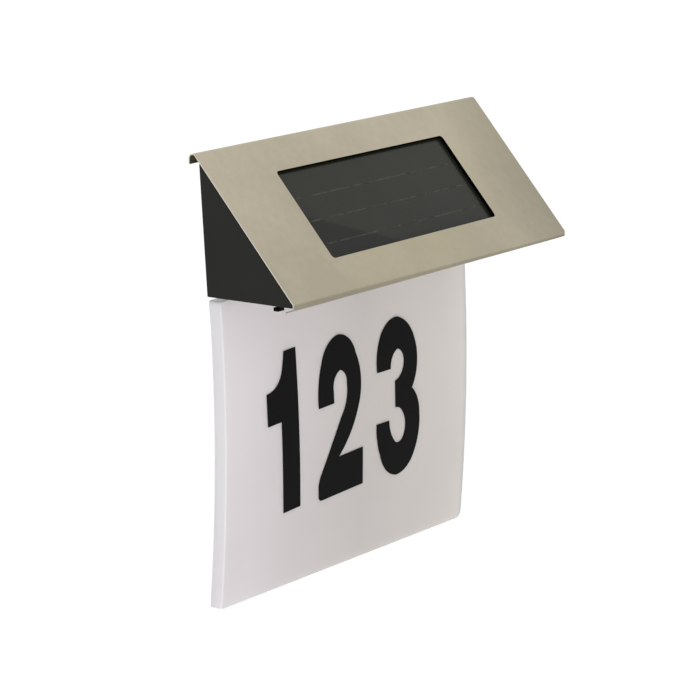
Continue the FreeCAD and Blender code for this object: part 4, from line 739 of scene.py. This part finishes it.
numberPanel = softenedCopy("light_panel", "numberPanel", opal)
tightenCorner(numberPanel, -1, -1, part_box("light_panel")[0][2], panel["nearCorner"])
for side in (-1, 1):
    tightenCorner(numberPanel, side, 1, underside, panel["shoulderCorner"])
lowerShoulders(numberPanel)
for digit in (1, 2, 3):
    softenedCopy(f"numeral_{digit}", f"digit{digit}", vinyl)
print("panel made")


# solar panel: four silicon strips under cast resin, with the three lines between them in the resin's surface.
# u runs along the sign, v up the slope, w out of it

solar = {
    "strips": 4, "length": 114 * mm, "width": 10.8 * mm, "pitch": 11.3 * mm, "first": 15.05 * mm,
    "top": -3.25 * mm, "thickness": 0.25 * mm, "stripEdge": 0.05 * mm,
    "line": 0.5 * mm, "lineThickness": 0.1 * mm, "lineEnd": 2.0 * mm, "lineTop": -1.585 * mm,
    "linePitch": 10.95 * mm, "middleLine": 32.1 * mm, "lineShift": -1.6 * mm,
    "resinLength": 127 * mm, "resinLow": 8.85 * mm, "resinHigh": 57.85 * mm, "resinTop": -2.55 * mm,
    "resinWall": 0.15 * mm,
    "cushionTop": -1.6 * mm, "cushionOver": 0.5 * mm, "cushionColumns": 32, "cushionRows": 14,
    "sag": 0.03 * mm,
}


def barsTree():
    # a bar of one size on each point, all tilted alike
    tree, given, out = newTree("bars", {
        "Size": ("NodeSocketVector", (0.1, 0.01, 0.001)), "Tilt": ("NodeSocketVector", (0, 0, 0)),
        "Material": ("NodeSocketMaterial", None),
    })
    bar = addNode(tree, "GeometryNodeMeshCube", links={"Size": given["Size"]})
    placed = addNode(tree, "GeometryNodeInstanceOnPoints", links={
        "Points": given["Geometry"], "Instance": bar.outputs["Mesh"], "Rotation": given["Tilt"]})
    return endTree(tree, out, placed.outputs[0], given["Material"])


def makeCells():
    bars = barsTree()
    tilt = (math.radians(hood["slope"]), 0, 0)
    rows = [solar["first"] + solar["pitch"] * index for index in range(solar["strips"])]
    strips = pointsObject(
        "siliconStrips", [onSlope(0, v, solar["top"] - solar["thickness"] / 2) for v in rows])
    grow(strips, bars, {
        "Size": (solar["length"], solar["width"], solar["thickness"]), "Tilt": tilt, "Material": silicon})
    roundEdges(strips, solar["stripEdge"], 1)
    lineMiddle = solar["lineTop"] - solar["lineThickness"] / 2
    lines = pointsObject("scribedLines", [
        onSlope(solar["lineShift"], solar["middleLine"] + solar["linePitch"] * step, lineMiddle)
        for step in (-1, 0, 1)])
    grow(lines, bars, {
        "Size": (solar["length"] - 2 * solar["lineEnd"], solar["line"], solar["lineThickness"]), "Tilt": tilt,
        "Material": conductor})
    for obj, slotName in ((strips, "solar_silicon"), (lines, "tinned_copper")):
        evenShading(obj)
        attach(obj, "sign")
    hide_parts("solar_cells")


def makeResin():
    # it lies under the seal at its rim and stands up through the window as a cushion with a very shallow dip
    columns, rows, over = solar["cushionColumns"], solar["cushionRows"], solar["cushionOver"]
    halfLength = solar["resinLength"] / 2
    inner = hood["windowLength"] / 2 + over
    low, high = hood["windowLow"] - over, hood["windowLow"] + hood["windowHeight"] + over
    us = [inner * (i * 2 / columns - 1) for i in range(1, columns)]
    us = [-halfLength, -inner, *us, inner, halfLength]
    vs = [low + (high - low) * j / rows for j in range(1, rows)]
    vs = [solar["resinLow"], low, *vs, high, solar["resinHigh"]]
    shape = bmesh.new()
    grid = {}
    for j, v in enumerate(vs):
        for i, u in enumerate(us):
            w = solar["resinTop"]
            if 0 < i < len(us) - 1 and 0 < j < len(vs) - 1:
                a, b = u / inner, (v - (low + high) / 2) / (high - low) * 2
                w = solar["cushionTop"] - solar["sag"] * (1 - a ** 4) * (1 - b ** 4)
            grid[i, j] = shape.verts.new(onSlope(u, v, w))
    for j in range(len(vs) - 1):
        for i in range(len(us) - 1):
            shape.faces.new((grid[i, j], grid[i + 1, j], grid[i + 1, j + 1], grid[i, j + 1]))
    coat = pieceFromShape("resinCoat", shape)
    wall = coat.modifiers.new("wall", "SOLIDIFY")
    wall.thickness = solar["resinWall"]
    wall.offset = -1
    settle(coat)
    dress(coat, resin)
    evenShading(coat, 40)
    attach(coat, "sign")
    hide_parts("solar_resin")


makeCells()
makeResin()
print("solar panel made")


# screws: one cross head screw on every point, each turned by its own random angle

screwSets = {  # sizes in mm, turns in degrees. A sunk head is a cone, a pan head only leans in a little
    "case_screws": {
        "places": [(x, -8.0, z) for x in (-91.6, 91.6) for z in (-17.015, 0.985)], "turn": (-90, 0, 0),
        "sunk": True, "head": 2.47, "headHeight": 1.3, "shank": 1.3, "length": 7.0, "body": "sign",
    },
    "panel_screws": {
        "places": [(x, 0.0, -20.515) for x in (-50, 0, 50)], "turn": (-90, 0, 0),
        "sunk": True, "head": 2.47, "headHeight": 1.3, "shank": 1.3, "length": 10.5, "body": "sign",
    },
    "board_screws": {
        "places": [(x, -24.5, -17.82) for x in (47.5, 80.5)], "turn": (0, 0, 0),
        "sunk": False, "head": 1.71, "headHeight": 0.99, "shank": 0.9, "length": 5.79, "body": "sign",
    },
    "led_board_screws": {
        "places": [(x, -4.9, -10.62) for x in (-77.2, 77.2)], "turn": (0, 0, 0),
        "sunk": False, "head": 1.71, "headHeight": 0.99, "shank": 0.9, "length": 6.49, "body": "sign",
    },
    "door_screws": {
        "places": [(x, -21.0, -25.87) for x in (-35.25, 30.15)], "turn": (180, 0, 0),
        "sunk": False, "head": 2.47, "headHeight": 1.06, "shank": 1.3, "length": 7.86,
        "body": "battery_cover",
    },
}
# shares of the head's radius
crossRecess = {"length": 1.15, "width": 0.24, "depth": 1.3 / 2.47, "panRim": 0.8}


def screwTree():
    # head with a cross cut into it, on a plain shank
    tree, given, out = newTree("crossHeadScrews", {
        "Rim radius": ("NodeSocketFloat", 0.0025), "Seat radius": ("NodeSocketFloat", 0.0013),
        "Head height": ("NodeSocketFloat", 0.0013), "Shank radius": ("NodeSocketFloat", 0.0013),
        "Length": ("NodeSocketFloat", 0.007),
        "Recess": ("NodeSocketFloat", 0.0026), "Recess width": ("NodeSocketFloat", 0.0005),
        "Recess depth": ("NodeSocketFloat", 0.0007), "Turn": ("NodeSocketVector", (0, 0, 0)),
        "Seed": ("NodeSocketInt", 7), "Material": ("NodeSocketMaterial", None),
    })
    head = addNode(tree, "GeometryNodeMeshCone", {"Vertices": 36}, {
        "Radius Top": given["Rim radius"], "Radius Bottom": given["Seat radius"],
        "Depth": given["Head height"]})
    drop = addNode(tree, "ShaderNodeMath", {"operation": "MULTIPLY", 1: -1.0}, {0: given["Head height"]})
    headPlace = addNode(tree, "ShaderNodeCombineXYZ", links={"Z": drop.outputs[0]})
    headDown = addNode(
        tree, "GeometryNodeTransform",
        links={"Geometry": head.outputs[0], "Translation": headPlace.outputs[0]})
    arm = addNode(tree, "ShaderNodeCombineXYZ", links={
        "X": given["Recess"], "Y": given["Recess width"], "Z": given["Recess depth"]})
    other = addNode(tree, "ShaderNodeCombineXYZ", links={
        "X": given["Recess width"], "Y": given["Recess"], "Z": given["Recess depth"]})
    one = addNode(tree, "GeometryNodeMeshCube", links={"Size": arm.outputs[0]})
    two = addNode(tree, "GeometryNodeMeshCube", links={"Size": other.outputs[0]})
    cross = addNode(
        tree, "GeometryNodeMeshBoolean", {"operation": "UNION", "solver": "EXACT"},
        {"Mesh 2": [one.outputs["Mesh"], two.outputs["Mesh"]]})
    cut = addNode(tree, "GeometryNodeMeshBoolean", {"operation": "DIFFERENCE", "solver": "EXACT"}, {
        "Mesh 1": headDown.outputs[0], "Mesh 2": cross.outputs[0]})
    shank = addNode(tree, "GeometryNodeMeshCylinder", {"Vertices": 24}, {"Radius": given["Shank radius"]})
    below = addNode(
        tree, "ShaderNodeMath", {"operation": "SUBTRACT"}, {0: given["Length"], 1: given["Head height"]})
    tree.links.new(below.outputs[0], shank.inputs["Depth"])
    half = addNode(tree, "ShaderNodeMath", {"operation": "MULTIPLY", 1: -0.5}, {0: below.outputs[0]})
    shankDrop = addNode(
        tree, "ShaderNodeMath", {"operation": "SUBTRACT"}, {0: half.outputs[0], 1: given["Head height"]})
    shankPlace = addNode(tree, "ShaderNodeCombineXYZ", links={"Z": shankDrop.outputs[0]})
    shankDown = addNode(
        tree, "GeometryNodeTransform",
        links={"Geometry": shank.outputs[0], "Translation": shankPlace.outputs[0]})
    whole = addNode(
        tree, "GeometryNodeJoinGeometry", links={0: [cut.outputs["Mesh"], shankDown.outputs[0]]})
    # up to a quarter turn, after which a cross looks the same
    spin = addNode(
        tree, "FunctionNodeRandomValue", {"data_type": "FLOAT", 3: 1.57}, {"Seed": given["Seed"]})
    spinAxis = addNode(tree, "ShaderNodeCombineXYZ", links={"Z": spin.outputs[1]})
    spun = addNode(tree, "GeometryNodeInstanceOnPoints", links={
        "Points": given["Geometry"], "Instance": whole.outputs[0], "Rotation": given["Turn"]})
    turned = addNode(tree, "GeometryNodeRotateInstances", {"Local Space": True}, {
        "Instances": spun.outputs[0], "Rotation": spinAxis.outputs[0]})
    return endTree(tree, out, turned.outputs[0], given["Material"])


def makeScrews():
    tree = screwTree()
    for index, (node, screw) in enumerate(screwSets.items()):
        obj = pointsObject(node.replace("_", "") + "Cross", [Vector(p) * mm for p in screw["places"]])
        head = screw["head"] * mm
        grow(obj, tree, {
            "Rim radius": head * (1.0 if screw["sunk"] else crossRecess["panRim"]),
            "Seat radius": screw["shank"] * mm if screw["sunk"] else head,
            "Head height": screw["headHeight"] * mm, "Shank radius": screw["shank"] * mm,
            "Length": screw["length"] * mm, "Recess": head * crossRecess["length"],
            "Recess width": head * crossRecess["width"], "Recess depth": head * crossRecess["depth"],
            "Turn": [math.radians(a) for a in screw["turn"]], "Seed": index + 3, "Material": zincPlate,
        })
        evenShading(obj, 35)
        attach(obj, screw["body"])
        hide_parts(node)


makeScrews()
print("screws made")


# switch cap: a small block on a narrow stem, with grip ribs on its end

switchCap = {
    "height": 1.5 * mm, "stemWidth": 1.2 * mm, "stemInset": 0.5 * mm,
    "ribs": 4, "ribWidth": 0.4 * mm, "ribHeight": 0.3 * mm, "edge": 0.12 * mm, "ribEdge": 0.072 * mm,
}


def makeSwitchCap():
    low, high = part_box("switch_slider")
    size = Vector(high) - Vector(low)
    middle = (Vector(low) + Vector(high)) / 2
    halfStem, inset = switchCap["stemWidth"] / 2, switchCap["stemInset"]
    capTop = low[2] + switchCap["height"]
    shape = bmesh.new()
    for near, far in (
        ((low[0], low[1], low[2] + switchCap["ribHeight"]), (high[0], high[1], capTop)),
        ((middle.x - halfStem, low[1] + inset, capTop), (middle.x + halfStem, high[1] - inset, high[2])),
    ):
        made = bmesh.ops.create_cube(shape, size=1.0)
        for vertex in made["verts"]:
            vertex.co = Vector([n + (share + 0.5) * (f - n) for n, f, share in zip(near, far, vertex.co)])
    cap = pieceFromShape("switchCap", shape)
    step = (size.x - switchCap["ribWidth"]) / (switchCap["ribs"] - 1)
    ribs = pointsObject("switchRibs", [
        (low[0] + switchCap["ribWidth"] / 2 + step * index, middle.y, low[2] + switchCap["ribHeight"] / 2)
        for index in range(switchCap["ribs"])])
    grow(
        ribs, barsTree(),
        {"Size": (switchCap["ribWidth"], size.y, switchCap["ribHeight"]), "Material": acetal})
    for obj in (cap, ribs):
        roundEdges(obj, switchCap["edge"] if obj is cap else switchCap["ribEdge"])
        dress(obj, acetal)
        evenShading(obj)
        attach(obj, "switch")
    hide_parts("switch_slider")


makeSwitchCap()
print("switch made")


# everything else keeps its own solid

finishes = {
    "hood_tape": tapeAdhesive, "solar_board": backSheet, "solar_ribbons": tinnedCopper, "solar_seal": foam,
    "battery_cell": cellSleeve, "battery_spring": nickelPlate, "battery_terminal": nickelPlate,
    "door_seal": foam, "control_board": greenMask, "control_chip": chipEpoxy, "boost_inductor": ferrite,
    "smoothing_capacitor": aluminiumCan, "led_board": whiteMask, "leds": phosphor, "switch_body": zincPlate,
}
for node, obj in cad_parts.items():
    if "_lead_" in node:
        dress(obj, redPvc if node.endswith(("1", "plus")) else blackPvc)
    elif node in finishes:
        dress(obj, finishes[node])
print("small pieces finished")


# studio

studio = {
    "worldLight": 0.34, "floorDrop": 1.5, "floorReach": 40.0, "floorTint": "#e6e6e6", "floorShine": 0.79,
    "lampSize": 0.9, "lampAim": (0, 0, -60 * mm),
}
softboxes = {
    "leftSoftbox": {"place": (-1.35, -0.85, -0.6), "watts": 14.5, "colour": (0.985, 0.975, 1.0)},
    "frontSoftbox": {"place": (0.5, -1.4, -1.0), "watts": 11.0, "colour": (1.0, 0.985, 0.955)},
    "rearSoftbox": {"place": (0.4, 1.6, 0.4), "watts": 10.0, "colour": (1.0, 1.0, 1.0)},
}
photoCamera = {  # solved from the photograph's perspective. Lens and sensor in mm, the turn in degrees
    "lens": 171.785, "sensor": 36.0, "place": (-1.11241, -0.77034, underside + 0.24989),
    "turn": (77.93551, -0.17442, -55.50297), "nearest": 0.05, "farthest": 200.0,
}


def seenDirectly(tree):
    # plain white wherever the camera, a reflection or a refraction looks, a softer level as light
    path = addNode(tree, "ShaderNodeLightPath")
    glossy = addNode(tree, "ShaderNodeMath", {"operation": "MAXIMUM"}, {
        0: path.outputs["Is Camera Ray"], 1: path.outputs["Is Glossy Ray"]})
    seen = addNode(tree, "ShaderNodeMath", {"operation": "MAXIMUM"}, {
        0: glossy.outputs[0], 1: path.outputs["Is Transmission Ray"]})
    return seen.outputs[0]


def makeWorld():
    world = bpy.data.worlds.new("studioWorld")
    bpy.context.scene.world = world
    world.use_nodes = True
    tree = world.node_tree
    level = addNode(
        tree, "ShaderNodeMapRange", {"To Min": studio["worldLight"], "To Max": 1.0},
        {"Value": seenDirectly(tree)})
    setNode(
        tree, tree.nodes["Background"], {"Color": (1, 1, 1, 1)}, {"Strength": level.outputs["Result"]})


def makeFloor():
    reach = studio["floorReach"]
    z = boxFromCad[0][2] - studio["floorDrop"]
    corners = [(-reach, -reach, z), (reach, -reach, z), (reach, reach, z), (-reach, reach, z)]
    mesh = bpy.data.meshes.new("floor")
    mesh.from_pydata(corners, [], [(0, 1, 2, 3)])
    floor = pieceFromMesh("floor", mesh)
    made, tree, shader = newMaterial("paleFloor")
    setNode(tree, shader, {"Base Color": linear(studio["floorTint"]), "Roughness": 0.9})
    # lifts the lit floor to white where it is looked at, and leaves the shadow on it. floorShine is the
    # share of the world's light that the tint sends back
    missing = 1.0 - studio["worldLight"] * studio["floorShine"]
    lift = addNode(tree, "ShaderNodeMath", {"operation": "MULTIPLY", 1: missing}, {0: seenDirectly(tree)})
    glow = addNode(tree, "ShaderNodeEmission", {"Color": (1, 1, 1, 1)}, {"Strength": lift.outputs[0]})
    both = addNode(tree, "ShaderNodeAddShader", links={0: shader.outputs[0], 1: glow.outputs[0]})
    tree.links.new(both.outputs[0], tree.nodes["Material Output"].inputs["Surface"])
    dress(floor, made)


def makeSoftbox(name, place, watts, colour):
    data = bpy.data.lights.new(name, "AREA")
    data.size = studio["lampSize"]
    data.energy = watts
    data.color = colour
    lamp = bpy.data.objects.new(name, data)
    lamp.location = place
    lamp.rotation_euler = (Vector(studio["lampAim"]) - Vector(place)).to_track_quat("-Z", "Y").to_euler()
    lamp.visible_camera = lamp.visible_glossy = lamp.visible_transmission = False
    bpy.context.scene.collection.objects.link(lamp)


def makeCamera():
    data = bpy.data.cameras.new("photoCamera")
    data.sensor_width = photoCamera["sensor"]
    data.lens = photoCamera["lens"]
    data.clip_start = photoCamera["nearest"]
    data.clip_end = photoCamera["farthest"]
    camera = bpy.data.objects.new("photoCamera", data)
    camera.location = photoCamera["place"]
    camera.rotation_euler = [math.radians(a) for a in photoCamera["turn"]]
    bpy.context.scene.collection.objects.link(camera)
    bpy.context.scene.camera = camera


makeWorld()
makeFloor()
for name, box in softboxes.items():
    makeSoftbox(name, box["place"], box["watts"], box["colour"])
makeCamera()
bpy.context.scene.view_settings.view_transform = "Standard"
print("studio made")
